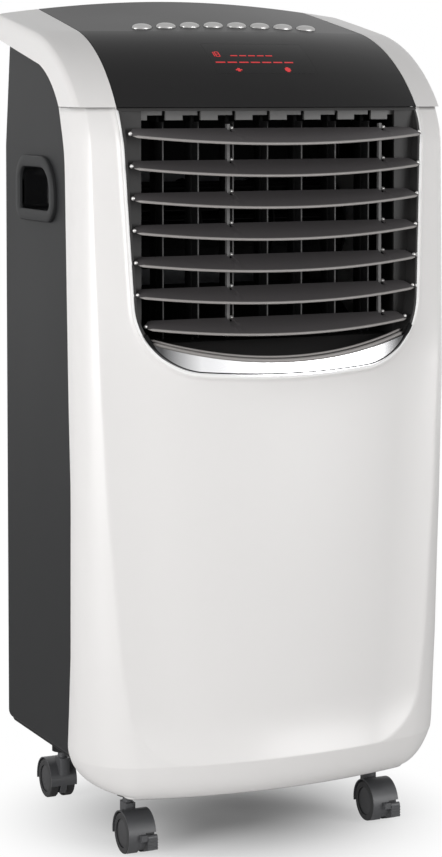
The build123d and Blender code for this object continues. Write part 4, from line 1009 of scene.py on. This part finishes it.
# %% hand holds
FRAME_GROW = [11.5, 11.5, 11.0, 10.2, 1.4, 0.5, 0.0, 0.0]
FRAME_OUT = [188.8, 192.2, 193.0, 193.4, 193.4, 193.0, 192.2, 188.0]
CUP_RIM, CUP_THROAT, CUP_FLOOR, CUP_R = 190.0, 178.0, 165.0, 7.0

round_in = np.radians(np.linspace(0.0, 90.0, 9))
cup_grow = np.concatenate([[0.0, 0.0], CUP_R * (np.cos(round_in) - 1.0)])
cup_out = np.concatenate([[CUP_RIM, CUP_THROAT], CUP_FLOOR - CUP_R * np.sin(round_in)])
for side, name, stands_for in ((-1.0, "left", ["side_handles"]), (1.0, "right", [])):
    hold_frame = arch_rings(side, FRAME_GROW, FRAME_OUT)
    hold_cup = arch_rings(side, cup_grow, cup_out)
    new_piece(f"handle_frame_{name}", [hold_frame], "charcoal_shell", stands_for=stands_for)
    new_piece(f"handle_cup_{name}", [hold_cup], "charcoal_shell", look="cup_black", lids=[-1], angle=60.0)

# %% [markdown]
# ## Casters
# A twin-wheel caster looks like one drum: the hood runs down in front of the wheels nearly to the
# floor, and a smooth cap closes each wheel's face. Both could be added to the solids, but they are thin
# trim. The skirt is an arc of the hood's own radius swept across each wheel, and the cap is a flat dome
# turned about the axle. The front casters get both, the rear ones only the caps.

# %% skirts and caps
SKIRT_OUT, SKIRT_IN, SKIRT_FROM, SKIRT_TO = 22.3, 21.3, -9.5, -46.0
WHEEL_NEAR, WHEEL_FAR = 3.3, 14.2
CAP_R, CAP_RISE, CAP_FACE, CAP_ROOT = 13.7, 0.9, 12.2, 11.0


def skirt(axle, left, right):
    """A curved plate across one wheel: its section's four corners turned downwards about the axle."""
    angle = np.radians(np.linspace(SKIRT_FROM, SKIRT_TO, 13))[:, None]
    radius = np.array([SKIRT_OUT, SKIRT_OUT, SKIRT_IN, SKIRT_IN])
    across = np.array([left, right, right, left]) + 0.0 * angle
    return axle + np.stack([across, -radius * np.cos(angle), radius * np.sin(angle)], -1)


def wheel_cap(axle, side):
    """Rings of a shallow dome about the axle: a short wall, then a parabola that rises to the middle."""
    ring = np.concatenate([[CAP_R], np.linspace(CAP_R, 0.01, 12)])[:, None]
    out = CAP_FACE + CAP_RISE * (1.0 - (ring / CAP_R) ** 2)
    out[0] = CAP_ROOT
    angle = full_turn(40)
    return axle + np.stack([side * out + 0.0 * angle, ring * np.cos(angle), ring * np.sin(angle)], -1)


for corner in ("front_left", "front_right", "rear_left", "rear_right"):
    axle = PLACES[f"caster_spin_{corner}"]
    caps = [wheel_cap(axle, side) for side in (-1.0, 1.0)]
    new_piece(f"wheel_caps_{corner}", caps, "wheel_plastic", f"caster_wheels_{corner}",
              look="cap_grey", lids=[0])
    if corner.startswith("front"):
        skirts = [skirt(axle, -WHEEL_FAR, -WHEEL_NEAR), skirt(axle, WHEEL_NEAR, WHEEL_FAR)]
        new_piece(f"caster_skirt_{corner}", skirts, "caster_plastic", f"caster_hood_{corner}", lids=[0, -1])
